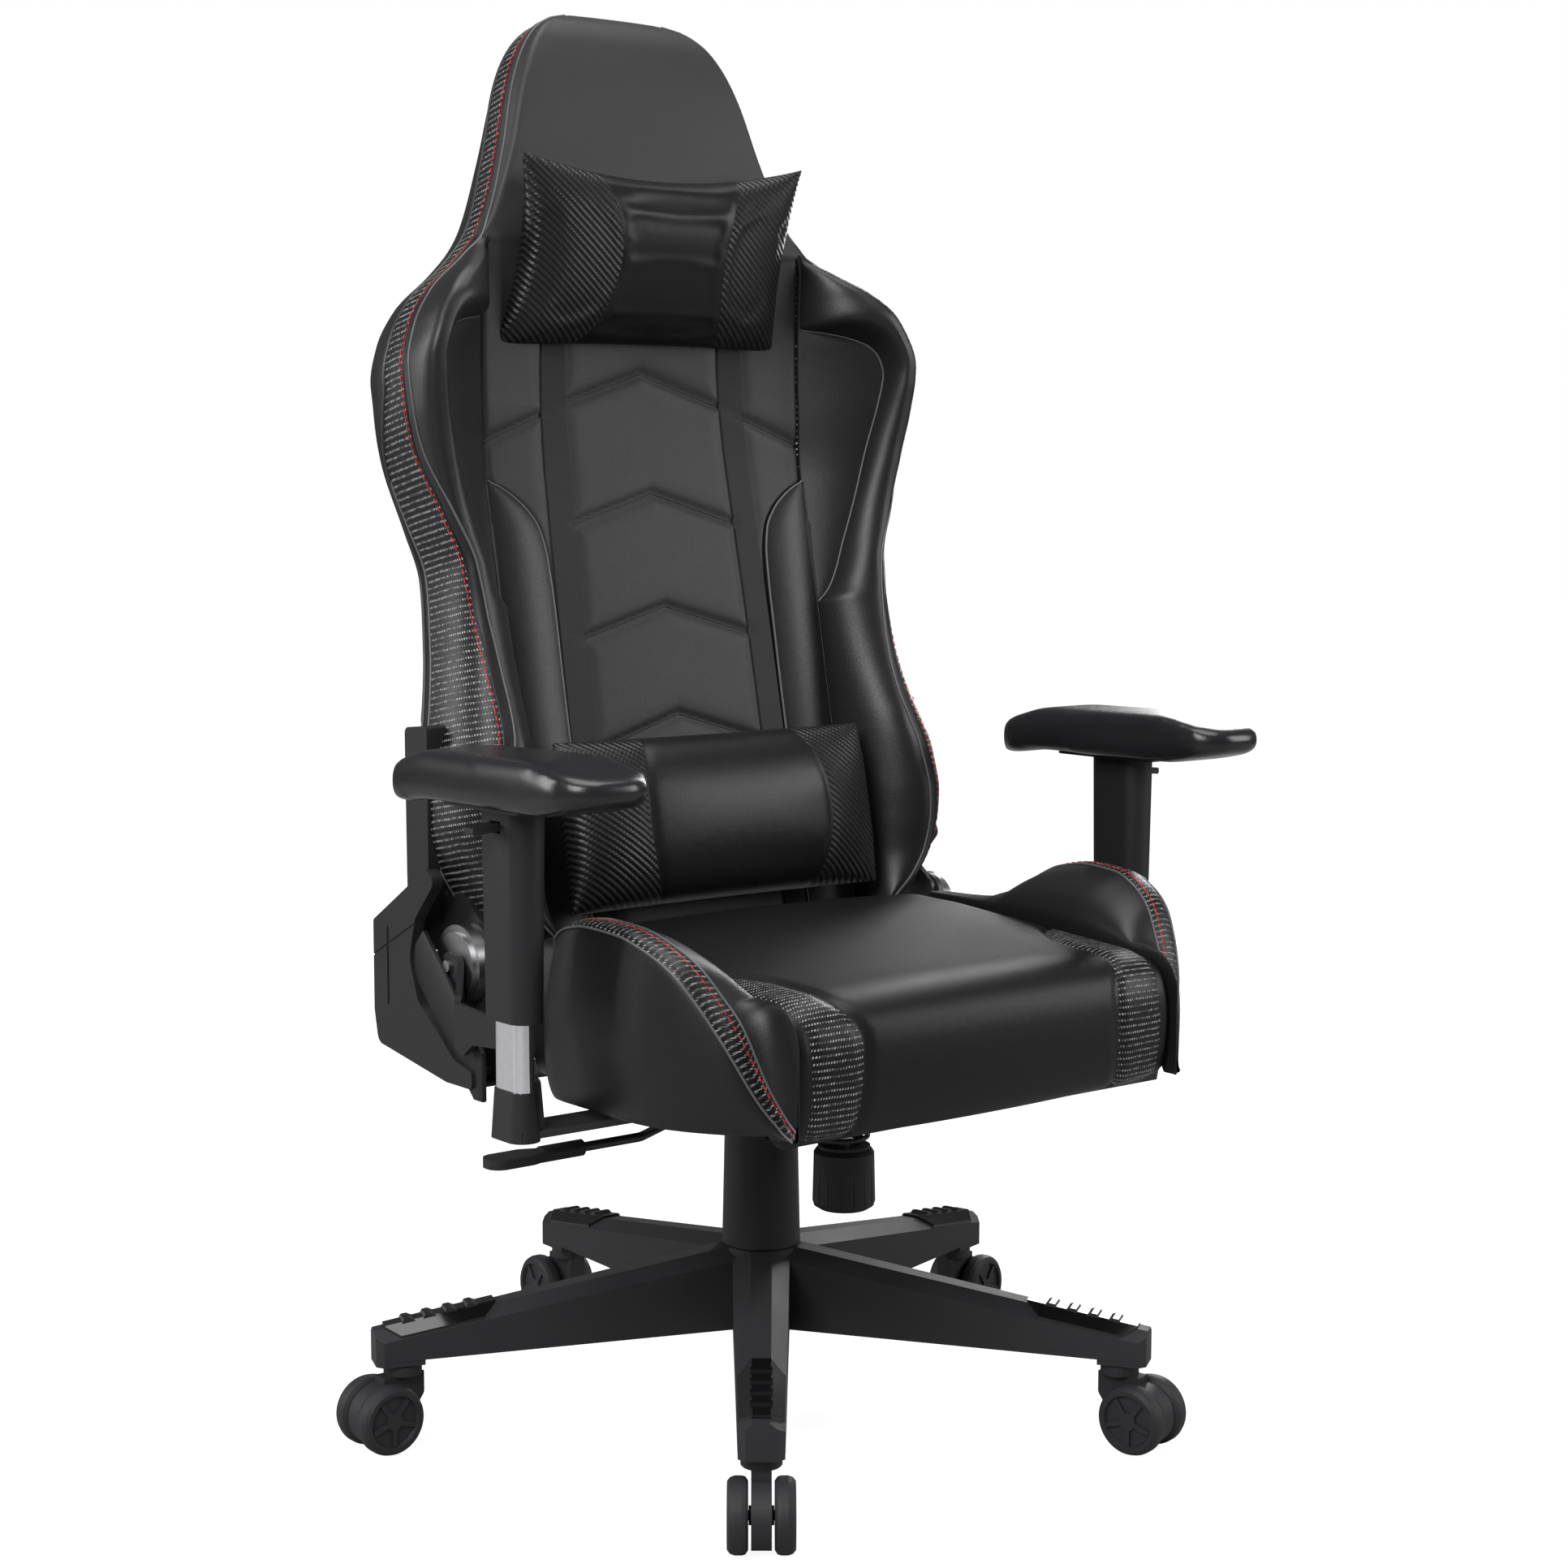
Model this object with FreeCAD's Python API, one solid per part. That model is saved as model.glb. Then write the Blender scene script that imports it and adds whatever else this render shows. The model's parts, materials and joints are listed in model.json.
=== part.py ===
"""Gaming chair: racing-style seat on a five-leg caster base.

Millimetres, +Z up.  The origin is on the floor under the gas lift's axis.  The chair faces -Y and
the sitter's left hand is at +X.  Every function makes one piece, or one group of like pieces.
"""
import FreeCAD, Part
import math
import os

V = FreeCAD.Vector
X, Y, Z = V(1, 0, 0), V(0, 1, 0), V(0, 0, 1)

# ---- clearances ---------------------------------------------------------------------------
GAP = 0.3            # between neighbours that move, or that only rest on each other
PIN_GAP = 0.05       # radial, a pin or shaft in its hole
STEEL = 3.0          # pressed steel sheet
WALL = 2.5           # moulded plastic wall

# ---- casters ------------------------------------------------------------------------------
WHEEL_R = 30.0
WHEEL_W = 16.5
HOOD_W = 16.0        # strip between the two wheels
WHEEL_GAP = 2.2      # hood to wheel
AXLE_R = 4.0
TRAIL = 23.0         # axle behind the swivel axis
STEM_R = 5.5
STEM_TOP = 94.0
COLLAR_R = 16.5
SPOKES = 5

# ---- star base ----------------------------------------------------------------------------
LEGS = 5
FIRST_LEG = 218.0    # direction of the first leg, degrees from +Y towards +X
LEG_REACH = 349.0
SOCKET_R = LEG_REACH - 25.0      # swivel axis from the middle of the base
LEG_FOOT = 73.0      # underside of the socket at the leg's end
LEG_STEP = 4.5       # how far the rest of the underside stands above it
LEG_END_TOP = 103.0
LEG_END_W = 37.0
LEG_HUB_W = 50.0
LEG_HUB_TOP = 150.0
LEG_DROP = 9.0       # height of the bevel along the top
LEG_WALL = 4.0
HUB_R = 37.0
HUB_TOP = 150.0
HUB_FOOT = 76.0
PAD_LENGTH = 96.0    # foot plate on the leg
PAD_T = 2.5
PAD_INSET = 9.0      # plate's end from the leg's end
PAD_RIBS = 4

# ---- gas lift -----------------------------------------------------------------------------
LIFT_TRAVEL = 100.0
TUBE_R = 25.0
TUBE_WALL = 2.0
TUBE_FOOT = 60.0
TUBE_TOP = 257.0
CYLINDER_R = 14.0
CYLINDER_BORE = 11.5
ROD_R = 5.0
BUSH_LENGTH = 24.0
BEARING_T = 7.0
COVER_WALL = 1.6
COVER_FOOT_R = 35.0
COVER_TOP_R = 32.4
COVER_TOP = 262.0
PIN_TRAVEL = 4.6     # release pin on top of the cylinder

# ---- tilt mechanism -----------------------------------------------------------------------
HOUSING_FOOT = 268.0
HOUSING_W = 90.0
PIVOT_Y = -60.0
PIVOT_Z = 303.0
PIVOT_R = 6.0
TILT_MAX = 15.0
BOLT_Y = -115.0      # tension bolt
BOLT_R = 5.0
SPRING_R = 22.5      # outer radius of the coil
SPRING_WIRE = 4.6
SPRING_TURNS = 3.5
TONGUE_Z = 288.0
KNOB_R = 27.0
KNOB_TOP = 257.0
KNOB_H = 52.0
KNOB_FLUTES = 16
LEVER_R = 4.0
BUSH_R = 7.0         # barrel bush the lever turns on
BUSH_HALF = 7.0      # half its length
LEVER_Z = 299.5      # where the lever passes through the housing's wall
LEVER_LOW = 276.0    # the straight run outside
LEVER_OUT = 268.0    # where the paddle's blade starts
PADDLE_LENGTH = 45.0
PADDLE_W = 27.0
PADDLE_T = 8.0
PADDLE_Y = -40.0

# ---- seat ---------------------------------------------------------------------------------
SEAT_PLATE_TOP = 322.0
CROSS_BAR_T = 4.0
CROSS_BAR_W = 50.0
SEAT_TUBE_R = 10.0
SEAT_FRONT = -308.0
SEAT_HALF_W = 203.0  # centre cushion
SEAT_TUBE_X = SEAT_HALF_W - 15.0     # the frame's tube lies under the cushion's edge
SEAT_REAR = 38.0
SEAT_TOP_FRONT = 436.0
SEAT_TOP_REAR = 450.0
BOLSTER_X = 288.0
BOLSTER_TOP = 484.0
BOLSTER_STEP_Y = -76.0   # behind it the bolster is narrower, for the recliner
BOLSTER_REAR_X = 240.0
WEB_COUNT = 5

# ---- recliner -----------------------------------------------------------------------------
HINGE_Y = 75.0
HINGE_Z = 418.0
LEAN = 11.5          # the back at rest, from upright
BACK_PLATE_X = 245.0
PLATE_T = 5.0
DRUM_R = 34.0
DRUM_T = 14.0
SYNC_ROD_R = 5.0
LEVER_JOG = 22.0     # how far the recline lever steps outwards
COVER_X = 284.0      # outer face of the side covers
COVER_RIM = 10.5     # depth of their rim; the back passes inside it

# ---- arms ---------------------------------------------------------------------------------
ARM_X = 332.0
ARM_Y = -114.0
POST_A, POST_B = 40.0, 18.0      # oval tube, along Y and along X
POST_TOP = 508.0
SLEEVE_FOOT = 408.0
SLEEVE_TOP = 574.0
SLEEVE_A, SLEEVE_B = 62.0, 33.0
SLEEVE_TAPER = 5.0
ARM_DOWN, ARM_UP = 45.0, 25.0
PAD_FRONT, PAD_REAR = -258.0, 22.0
PAD_W = 88.0
PAD_TOP = 616.0
PAD_H = 26.0

# ---- back ---------------------------------------------------------------------------------
BACK_TOP = 838.0     # along the back, from the hinge axis
BACK_SPLIT = -31.0   # foam in front of this depth, rear cover behind it
BACK_REAR = -56.0
PANEL_T = -4.0       # front face of the centre panel
BACK_TUBE_R = 8.0
BACK_TUBE_X = 190.0
STRAP_W = 25.0
STRAP_T = 1.5
STRAP_TOP = 494.0    # they pass under the head pillow here


# ---- drawing helpers ------------------------------------------------------------------------
def unit(v):
    return v * (1.0 / v.Length)


def rounded_wire(points, radius=0.0, closed=True):
    """A wire through 3-D points, each corner rounded by `radius` or by its own third item."""
    corners = [p if isinstance(p, tuple) else (p, radius) for p in points]
    count = len(corners)
    edges, starts, ends = [], {}, {}
    for i, (p, r) in enumerate(corners):
        inner = closed or 0 < i < count - 1
        if not inner or r <= 0:
            starts[i] = ends[i] = p
            continue
        a, b = corners[i - 1][0], corners[(i + 1) % count][0]
        da, db = unit(a - p), unit(b - p)
        half = math.acos(max(-1, min(1, da.dot(db)))) / 2
        back = r / math.tan(half)
        middle = unit(da + db)
        starts[i], ends[i] = p + da * back, p + db * back
        top = p + middle * (r / math.sin(half) - r)
        edges.append((i, Part.Arc(starts[i], top, ends[i]).toShape()))
    arcs = dict(edges)
    chain = []
    for i in range(count):
        if i in arcs:
            chain.append(arcs[i])
        j = (i + 1) % count
        if (closed or j) and (starts[j] - ends[i]).Length > 1e-6:
            chain.append(Part.LineSegment(ends[i], starts[j]).toShape())
    return Part.Wire(chain)


def slab(points, thickness, radius=0.0):
    """A flat outline of 3-D points pushed out along `thickness`."""
    return Part.Face(rounded_wire(points, radius)).extrude(thickness)


def in_yz(x, outline):
    return [(V(x, p[0], p[1]), p[2] if len(p) > 2 else 0) for p in outline]


def in_xz(y, outline):
    return [(V(p[0], y, p[1]), p[2] if len(p) > 2 else 0) for p in outline]


def in_xy(z, outline):
    return [(V(p[0], p[1], z), p[2] if len(p) > 2 else 0) for p in outline]


def rod(r, a, b):
    d = b - a
    return Part.makeCylinder(r, d.Length, a, d)


def ring(outer, inner, z0, z1, centre=V(0, 0, 0)):
    base = centre + Z * z0
    return Part.makeCylinder(outer, z1 - z0, base).cut(Part.makeCylinder(inner, z1 - z0, base))


def turned(profile, centre=V(0, 0, 0)):
    """A solid of revolution about a vertical axis from (radius, height) pairs."""
    wire = Part.makePolygon([V(r, 0, z) for r, z in profile + profile[:1]])
    solid = Part.Face(wire).revolve(V(0, 0, 0), Z, 360)
    solid.translate(centre)
    return solid


def tube(points, outer, inner, bend, closed=False):
    """A bent round tube along a path of straight runs joined by arcs."""
    path = rounded_wire(points, bend, closed)
    start = path.Edges[0]
    at = start.valueAt(start.FirstParameter)
    along = start.tangentAt(start.FirstParameter)
    def sweep(r):
        profile = Part.Wire(Part.makeCircle(r, at, along))
        return path.makePipeShell([profile], True, True)
    solid = sweep(outer)
    return solid.cut(sweep(inner)) if inner else solid


def stadium(a, b, z, centre):
    """A flat-sided oval wire, a long along Y and b wide along X."""
    r = b / 2
    h = a / 2 - r
    p = [V(-r, -h, z), V(0, -h - r, z), V(r, -h, z), V(r, h, z), V(0, h + r, z), V(-r, h, z)]
    p = [q + centre for q in p]
    return Part.Wire([Part.Arc(p[0], p[1], p[2]).toShape(), Part.LineSegment(p[2], p[3]).toShape(),
                      Part.Arc(p[3], p[4], p[5]).toShape(), Part.LineSegment(p[5], p[0]).toShape()])


def oval(a, b, z0, z1, centre, a1=None, b1=None):
    if a1 is None:
        return Part.Face(stadium(a, b, z0, centre)).extrude(Z * (z1 - z0))
    return Part.makeLoft([stadium(a, b, z0, centre), stadium(a1, b1, z1, centre)], True, True)


def sides(left):
    """A piece made at -X and its mirror image at +X."""
    return left, left.mirror(V(0, 0, 0), X)


def group(solids):
    return Part.makeCompound(solids)


def between(x, table):
    """Straight-line reading of a table of (position, value) pairs."""
    for (x0, y0), (x1, y1) in zip(table, table[1:]):
        if x <= x1:
            return y0 + (y1 - y0) * (x - x0) / (x1 - x0)
    return table[-1][1]


# ---- the back's own frame: x across, s up along it, t forwards ----------------------------------
_lean = math.radians(LEAN)
HINGE = V(0, HINGE_Y, HINGE_Z)
UP_BACK = V(0, math.sin(_lean), math.cos(_lean))
OUT_BACK = V(0, -math.cos(_lean), math.sin(_lean))


def on_back(x, s, t):
    return HINGE + X * x + UP_BACK * s + OUT_BACK * t


# ---- star base ----------------------------------------------------------------------------
def leg_axis(i):
    a = math.radians(FIRST_LEG + i * 360.0 / LEGS)
    return V(math.sin(a), math.cos(a), 0)


def leg_top(r):
    slope = (LEG_HUB_TOP - LEG_END_TOP) / (LEG_REACH - HUB_R)
    return LEG_END_TOP + (LEG_REACH - r) * slope


def leg_half(r):
    return (LEG_END_W + (LEG_HUB_W - LEG_END_W) * (LEG_REACH - r) / (LEG_REACH - HUB_R)) / 2


def leg_section(r, foot, inset=0.0):
    """Bevelled section of a leg that runs along +X, at distance r."""
    w, top = leg_half(r) - inset, leg_top(r) - inset
    flat = w * 0.38
    return Part.makePolygon([V(r, -w, foot), V(r, w, foot), V(r, w, top - LEG_DROP), V(r, flat, top),
                             V(r, -flat, top), V(r, -w, top - LEG_DROP), V(r, -w, foot)])


def leg_solid():
    """One leg along +X: a bevelled box, open and ribbed below, with a socket at its end."""
    foot = LEG_FOOT + LEG_STEP
    nose = 7.0
    inner_end = SOCKET_R - COLLAR_R
    leg = Part.makeLoft([leg_section(HUB_R * 0.5, foot + 2), leg_section(LEG_REACH, foot)], True, True)
    cavity = Part.makeLoft([leg_section(HUB_R + 4, foot - 5, LEG_WALL),
                            leg_section(inner_end - LEG_WALL, foot - 5, LEG_WALL)], True, True)
    leg = leg.cut(cavity)
    w = LEG_END_W / 2
    socket = Part.makeBox(LEG_REACH - inner_end, 2 * w, LEG_STEP + 1, V(inner_end, -w, LEG_FOOT))
    ribs = []
    for k in range(1, 5):
        r = HUB_R + 4 + (inner_end - HUB_R - 4) * k / 5.0
        ribs.append(Part.makeBox(3, 2 * leg_half(r) - LEG_WALL, leg_top(r) - foot - 14,
                                 V(r, -leg_half(r) + LEG_WALL / 2, foot + 6)))
    leg = leg.fuse([socket] + ribs)
    for side in (-1, 1):
        corner = [V(LEG_REACH - nose, side * (w + 1), 0), V(LEG_REACH + 1, side * (w + 1), 0),
                  V(LEG_REACH + 1, side * (w - nose), 0)]
        leg = leg.cut(slab([p + Z * 60 for p in corner], Z * 60))
    bore = Part.makeCylinder(STEM_R + PIN_GAP, STEM_TOP + 1 - LEG_FOOT, V(SOCKET_R, 0, LEG_FOOT))
    return leg.cut(bore)


def star_base():
    leg = leg_solid()
    hub = turned([(TUBE_R + PIN_GAP, HUB_FOOT), (HUB_R - 2, HUB_FOOT), (HUB_R, HUB_FOOT + 2),
                  (HUB_R, HUB_TOP - 2), (HUB_R - 2, HUB_TOP), (TUBE_R + PIN_GAP, HUB_TOP)])
    legs = []
    for i in range(LEGS):
        piece = leg.copy()
        piece.rotate(V(0, 0, 0), Z, 90 - FIRST_LEG - i * 360.0 / LEGS)
        legs.append(piece)
    above = Part.makeCylinder(HUB_R, 20, V(0, 0, HUB_TOP))
    bore = Part.makeCylinder(TUBE_R + PIN_GAP, 120, V(0, 0, HUB_FOOT - 10))
    return hub.fuse(legs).cut(above).cut(bore).removeSplitter()


def leg_pads():
    """Ribbed foot plates, hexagonal in plan, bent over the top of each leg."""
    r1 = LEG_REACH - PAD_INSET
    r0 = r1 - PAD_LENGTH

    def section(r):
        w, top = leg_half(r), leg_top(r)
        flat, edge = w * 0.38, w * 0.96
        low = top - LEG_DROP * (edge - flat) / (w - flat)
        return Part.makePolygon([V(r, -edge, low), V(r, -flat, top), V(r, flat, top), V(r, edge, low),
                                 V(r, edge, low + PAD_T), V(r, flat, top + PAD_T),
                                 V(r, -flat, top + PAD_T), V(r, -edge, low + PAD_T), V(r, -edge, low)])
    plate = Part.makeLoft([section(r0), section(r1)], True, True)
    for end, way in ((r0, 1), (r1, -1)):
        for side in (-1, 1):
            cut = [V(end - way, side * 7, 90), V(end - way, side * 30, 90), V(end + way * 12, side * 30, 90),
                   V(end + way * 12, side * 18, 90)]
            plate = plate.cut(slab(cut, Z * 60))
    slope = math.degrees(math.atan2(leg_top(r0) - leg_top(r1), PAD_LENGTH))
    ribs = []
    for k in range(PAD_RIBS):
        r = r0 + PAD_LENGTH * (k + 1.1) / (PAD_RIBS + 1.2)
        rib = slab(in_xz(-9, [(-6, -1), (6, -1), (4, 2.2), (-1, 2.2)]), Y * 18)
        rib.rotate(V(0, 0, 0), Y, slope)
        rib.translate(V(r, 0, leg_top(r) + PAD_T))
        ribs.append(rib)
    plate = plate.fuse(ribs)
    pads = []
    for i in range(LEGS):
        pad = plate.copy()
        pad.rotate(V(0, 0, 0), Z, 90 - FIRST_LEG - i * 360.0 / LEGS)
        pads.append(pad)
    return group(pads)


# ---- casters ------------------------------------------------------------------------------
CASTER_TURN = [0.0, 20.0, 0.0, 0.0, -20.0]     # each swivel's place at rest, from straight out


def caster_frame():
    """Swivel stem, collar, hood between the wheels and axle; the axle lies at +X of the stem."""
    stem = Part.makeCylinder(STEM_R, STEM_TOP - 60, V(0, 0, 60))
    groove = ring(STEM_R + 1, STEM_R - 0.8, 84, 86)
    collar = turned([(0, 62), (COLLAR_R - 1, 62), (COLLAR_R, 63), (COLLAR_R, LEG_FOOT - 1.6),
                     (COLLAR_R - 1, LEG_FOOT - GAP), (0, LEG_FOOT - GAP)])
    half = HOOD_W / 2
    shell_r = WHEEL_R - 3.5
    neck = slab(in_xz(-half, [(-COLLAR_R, 63), (-COLLAR_R, 44, 6), (-COLLAR_R + 10, 30, 4), (TRAIL, 30),
                              (TRAIL, 63)]), Y * HOOD_W)
    disc = Part.makeCylinder(shell_r, HOOD_W, V(TRAIL, -half, WHEEL_R), Y)
    axle_half = half + WHEEL_GAP + WHEEL_W - 5
    axle = Part.makeCylinder(AXLE_R, 2 * axle_half, V(TRAIL, -axle_half, WHEEL_R), Y)
    boss = Part.makeCylinder(AXLE_R + 3.5, HOOD_W + 2 * WHEEL_GAP - 2 * GAP,
                             V(TRAIL, -half - WHEEL_GAP + GAP, WHEEL_R), Y)
    return stem.cut(groove).fuse([collar, neck, disc, boss, axle])


def caster_wheel(side):
    """A wheel with a rounded tread and a recessed face of spokes, on the +Y or -Y side."""
    w = WHEEL_W
    profile = [(AXLE_R + PIN_GAP, 0), (WHEEL_R - 4, 0), (WHEEL_R - 0.8, 2.2), (WHEEL_R, 5),
               (WHEEL_R, w - 6), (WHEEL_R - 1.2, w - 2.4), (WHEEL_R - 4, w), (22.5, w), (21.0, w - 3.2),
               (7.5, w - 3.2), (7.5, w - 1), (0, w - 1), (0, w - 4.6), (AXLE_R + PIN_GAP, w - 4.6)]
    wheel = turned(profile)
    spoke = Part.makeBox(14.2, 4.2, 2.4, V(7.2, -2.1, w - 3.4))
    spokes = []
    for k in range(SPOKES):
        arm = spoke.copy()
        arm.rotate(V(0, 0, 0), Z, 90 + k * 360.0 / SPOKES)
        spokes.append(arm)
    wheel = wheel.fuse(spokes)
    wheel.rotate(V(0, 0, 0), X, -90)
    wheel.translate(V(TRAIL, HOOD_W / 2 + WHEEL_GAP, WHEEL_R))
    return wheel if side > 0 else wheel.mirror(V(0, 0, 0), Y)


def place_caster(piece, i):
    """Move a caster piece from the origin to the end of leg i, at its own turn."""
    placed = piece.copy()
    placed.rotate(V(0, 0, 0), Z, 90 - FIRST_LEG - i * 360.0 / LEGS + CASTER_TURN[i])
    placed.translate(leg_axis(i) * SOCKET_R)
    return placed


# ---- gas lift -----------------------------------------------------------------------------
def lift_column():
    r, wall = TUBE_R, TUBE_WALL
    return turned([(ROD_R + 0.06, TUBE_FOOT), (r - 1, TUBE_FOOT), (r, TUBE_FOOT + 1), (r, TUBE_TOP),
                   (r - wall, TUBE_TOP), (r - wall, TUBE_FOOT + 4), (ROD_R + 0.06, TUBE_FOOT + 4)])


def column_bush():
    r = TUBE_R - TUBE_WALL
    return turned([(CYLINDER_R + PIN_GAP, TUBE_TOP - BUSH_LENGTH), (r, TUBE_TOP - BUSH_LENGTH), (r, TUBE_TOP),
                   (TUBE_R, TUBE_TOP), (TUBE_R, TUBE_TOP + 2), (CYLINDER_R + PIN_GAP, TUBE_TOP + 2)])


def thrust_bearing():
    """Two washers and the caged rollers between them, on the column's floor."""
    z0 = TUBE_FOOT + 4
    inner, outer = ROD_R + 0.5, ROD_R + 8
    washer = 1.6
    low = ring(outer, inner, z0, z0 + washer)
    high = ring(outer, inner, z0 + BEARING_T - washer, z0 + BEARING_T)
    middle, h = (inner + outer) / 2, BEARING_T / 2 - washer - 0.1
    z = z0 + BEARING_T / 2
    cage = turned([(middle - 1, z - h), (middle + 1, z - h), (middle + h + 0.6, z), (middle + 1, z + h),
                   (middle - 1, z + h), (middle - h - 0.6, z)])
    return group([low, high, cage])


def piston_rod():
    shoulder = TUBE_FOOT + 4 + BEARING_T + GAP
    head = TUBE_TOP - 15
    clip = TUBE_FOOT - GAP
    return turned([(0, clip - 4), (ROD_R - 1, clip - 4), (ROD_R - 1, clip - 2.2), (ROD_R + 2.5, clip - 2.2),
                   (ROD_R + 2.5, clip), (ROD_R, clip), (ROD_R, shoulder), (ROD_R + 5, shoulder),
                   (ROD_R + 5, shoulder + 3), (ROD_R, shoulder + 3), (ROD_R, head),
                   (CYLINDER_BORE - GAP, head), (CYLINDER_BORE - GAP, head + 9), (0, head + 9)])


CYLINDER_FOOT = TUBE_FOOT + 4 + BEARING_T + GAP + 5
CYLINDER_TOP = 291.0


def gas_cylinder():
    foot, top = CYLINDER_FOOT, CYLINDER_TOP
    return turned([(ROD_R + 0.06, foot), (CYLINDER_R - 1, foot), (CYLINDER_R, foot + 1), (CYLINDER_R, top - 24),
                   (CYLINDER_R - 0.6, top), (4 + PIN_GAP, top), (4 + PIN_GAP, top - 11),
                   (CYLINDER_BORE, top - 11), (CYLINDER_BORE, foot + 8), (ROD_R + 0.06, foot + 8)])


def release_pin():
    return turned([(0, CYLINDER_TOP - 5.5), (4, CYLINDER_TOP - 5.5), (4, CYLINDER_TOP + PIN_TRAVEL),
                   (3, CYLINDER_TOP + PIN_TRAVEL + 0.8), (0, CYLINDER_TOP + PIN_TRAVEL + 0.8)])


def cover_lower():
    """Outermost of the three telescoping covers; it stands on the hub."""
    foot, top, w = HUB_TOP + GAP, COVER_TOP, COVER_WALL
    lip = TUBE_R + 3 * GAP + 2 * (COVER_WALL + GAP)
    return turned([(COVER_FOOT_R - 1, foot), (COVER_FOOT_R, foot + 1), (COVER_FOOT_R - 0.4, foot + 8),
                   (COVER_TOP_R, top - 1.5), (COVER_TOP_R - 1.5, top), (lip, top), (lip, top - 5),
                   (COVER_TOP_R - w, top - 6), (COVER_FOOT_R - w - 0.4, foot)])


def nested_cover(order, foot, top):
    inner = TUBE_R + 2 * GAP + order * (COVER_WALL + GAP)
    return ring(inner + COVER_WALL, inner, foot, top)


def cover_middle():
    return nested_cover(1, HUB_TOP + GAP, COVER_TOP - 2)


def cover_upper():
    return nested_cover(0, HUB_TOP + 6, HOUSING_FOOT)


# ---- tilt mechanism -----------------------------------------------------------------------
def tilt_housing():
    """Pressed trough on the lift: side walls, floor, front tongue and the column's boss."""
    half, t = HOUSING_W / 2, 2.5
    z0 = HOUSING_FOOT
    outline = [(-92, TONGUE_Z - 4, 4), (-58, z0, 10), (42, z0, 10), (58, 276, 4), (58, 283, 2),
               (28, 289, 20), (-20, 300, 20), (-48, 314, 8), (-72, 314, 8), (-92, 300, 6)]
    body = slab(in_yz(-half, outline), X * HOUSING_W)
    hollow = [(-96, TONGUE_Z - 1.5), (-57, z0 + t, 8), (41, z0 + t, 8), (60, 279.5), (60, 330), (-96, 330)]
    body = body.cut(slab(in_yz(-half + t, hollow), X * (HOUSING_W - 2 * t)))
    w = SPRING_R + 5
    tongue = [(-w, BOLT_Y, 0), (-w, BOLT_Y - 12, 10), (-12, BOLT_Y - w, 8), (12, BOLT_Y - w, 8),
              (w, BOLT_Y - 12, 10), (w, BOLT_Y, 0), (half, -92, 3), (half, -80, 0), (-half, -80, 0), (-half, -92, 3)]
    body = body.fuse(slab(in_xy(TONGUE_Z, tongue), Z * STEEL))
    body = body.fuse(Part.makeCylinder(20, CYLINDER_TOP - 1 - z0, V(0, 0, z0)))
    slot = oval(24, 13, TONGUE_Z - 1, TONGUE_Z + STEEL + 1, V(0, BOLT_Y - 3, 0))
    tapered = Part.makeCone(CYLINDER_R + PIN_GAP, CYLINDER_R + PIN_GAP - 0.6, 24, V(0, 0, CYLINDER_TOP - 24))
    below = Part.makeCylinder(CYLINDER_R + PIN_GAP, CYLINDER_TOP - 24 - z0 + 2, V(0, 0, z0 - 2))
    pin = Part.makeCylinder(PIVOT_R + 0.01, 2 * half + 2, V(-half - 1, PIVOT_Y, PIVOT_Z), X)
    bush = rod(BUSH_R + PIN_GAP, V(-half + t / 2, -BUSH_HALF - GAP, LEVER_Z),
               V(-half + t / 2, BUSH_HALF + GAP, LEVER_Z))
    ear = slab(in_yz(-half, [(-12, 285), (12, 285), (12, LEVER_Z + 10, 3), (-12, LEVER_Z + 10, 3)]), X * t)
    body = body.fuse(ear).cut(bush)
    return body.cut(slot).cut(tapered).cut(below).cut(pin).removeSplitter()


def tilt_pin():
    """Pivot shaft of the rocking seat, with a head and a clip at its ends."""
    end = HOUSING_W / 2 + STEEL + 2
    shaft = rod(PIVOT_R, V(-end, PIVOT_Y, PIVOT_Z), V(end, PIVOT_Y, PIVOT_Z))
    head = rod(PIVOT_R + 3, V(end, PIVOT_Y, PIVOT_Z), V(end + 2.5, PIVOT_Y, PIVOT_Z))
    clip = rod(PIVOT_R + 2, V(-end - 1.5, PIVOT_Y, PIVOT_Z), V(-end, PIVOT_Y, PIVOT_Z))
    return shaft.fuse([head, clip])


def seat_plate():
    """Plate under the seat with two ears that hang on the tilt pin."""
    z0 = SEAT_PLATE_TOP - STEEL
    plate = slab(in_xy(z0, [(-78, -142, 12), (78, -142, 12), (78, 85, 12), (-78, 85, 12)]), Z * STEEL)
    x0 = HOUSING_W / 2 + GAP
    for side in (-1, 1):
        ear = slab(in_yz(side * x0, [(PIVOT_Y - 26, z0 + 1), (PIVOT_Y + 26, z0 + 1), (PIVOT_Y + 11, PIVOT_Z - 11, 9),
                                     (PIVOT_Y - 11, PIVOT_Z - 11, 9)]), X * (side * STEEL))
        plate = plate.fuse(ear)
    holes = [rod(4.2, V(x, y, z0 - 1), V(x, y, z0 + 5)) for x, y in seat_bolt_places()]
    holes.append(rod(PIVOT_R + PIN_GAP, V(-60, PIVOT_Y, PIVOT_Z), V(60, PIVOT_Y, PIVOT_Z)))
    holes.append(rod(BOLT_R + 0.3, V(0, BOLT_Y, z0 - 1), V(0, BOLT_Y, z0 + 5)))
    w = HOUSING_W / 2 + 22
    # the cut-out is open towards the height lever, which swings up and pulls out in it
    window = slab(in_xy(z0 - 1, [(-90, -26, 0), (w, -26, 8), (w, 34, 8), (-90, 34, 0)]), Z * (STEEL + 2))
    return plate.cut(holes).cut(window)


def seat_bolt_places():
    return [(x, y) for x in (-64, 64) for y in (FRONT_BAR_Y, REAR_BAR_Y)]


FRONT_BAR_Y = -117.0
REAR_BAR_Y = 55.0


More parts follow.
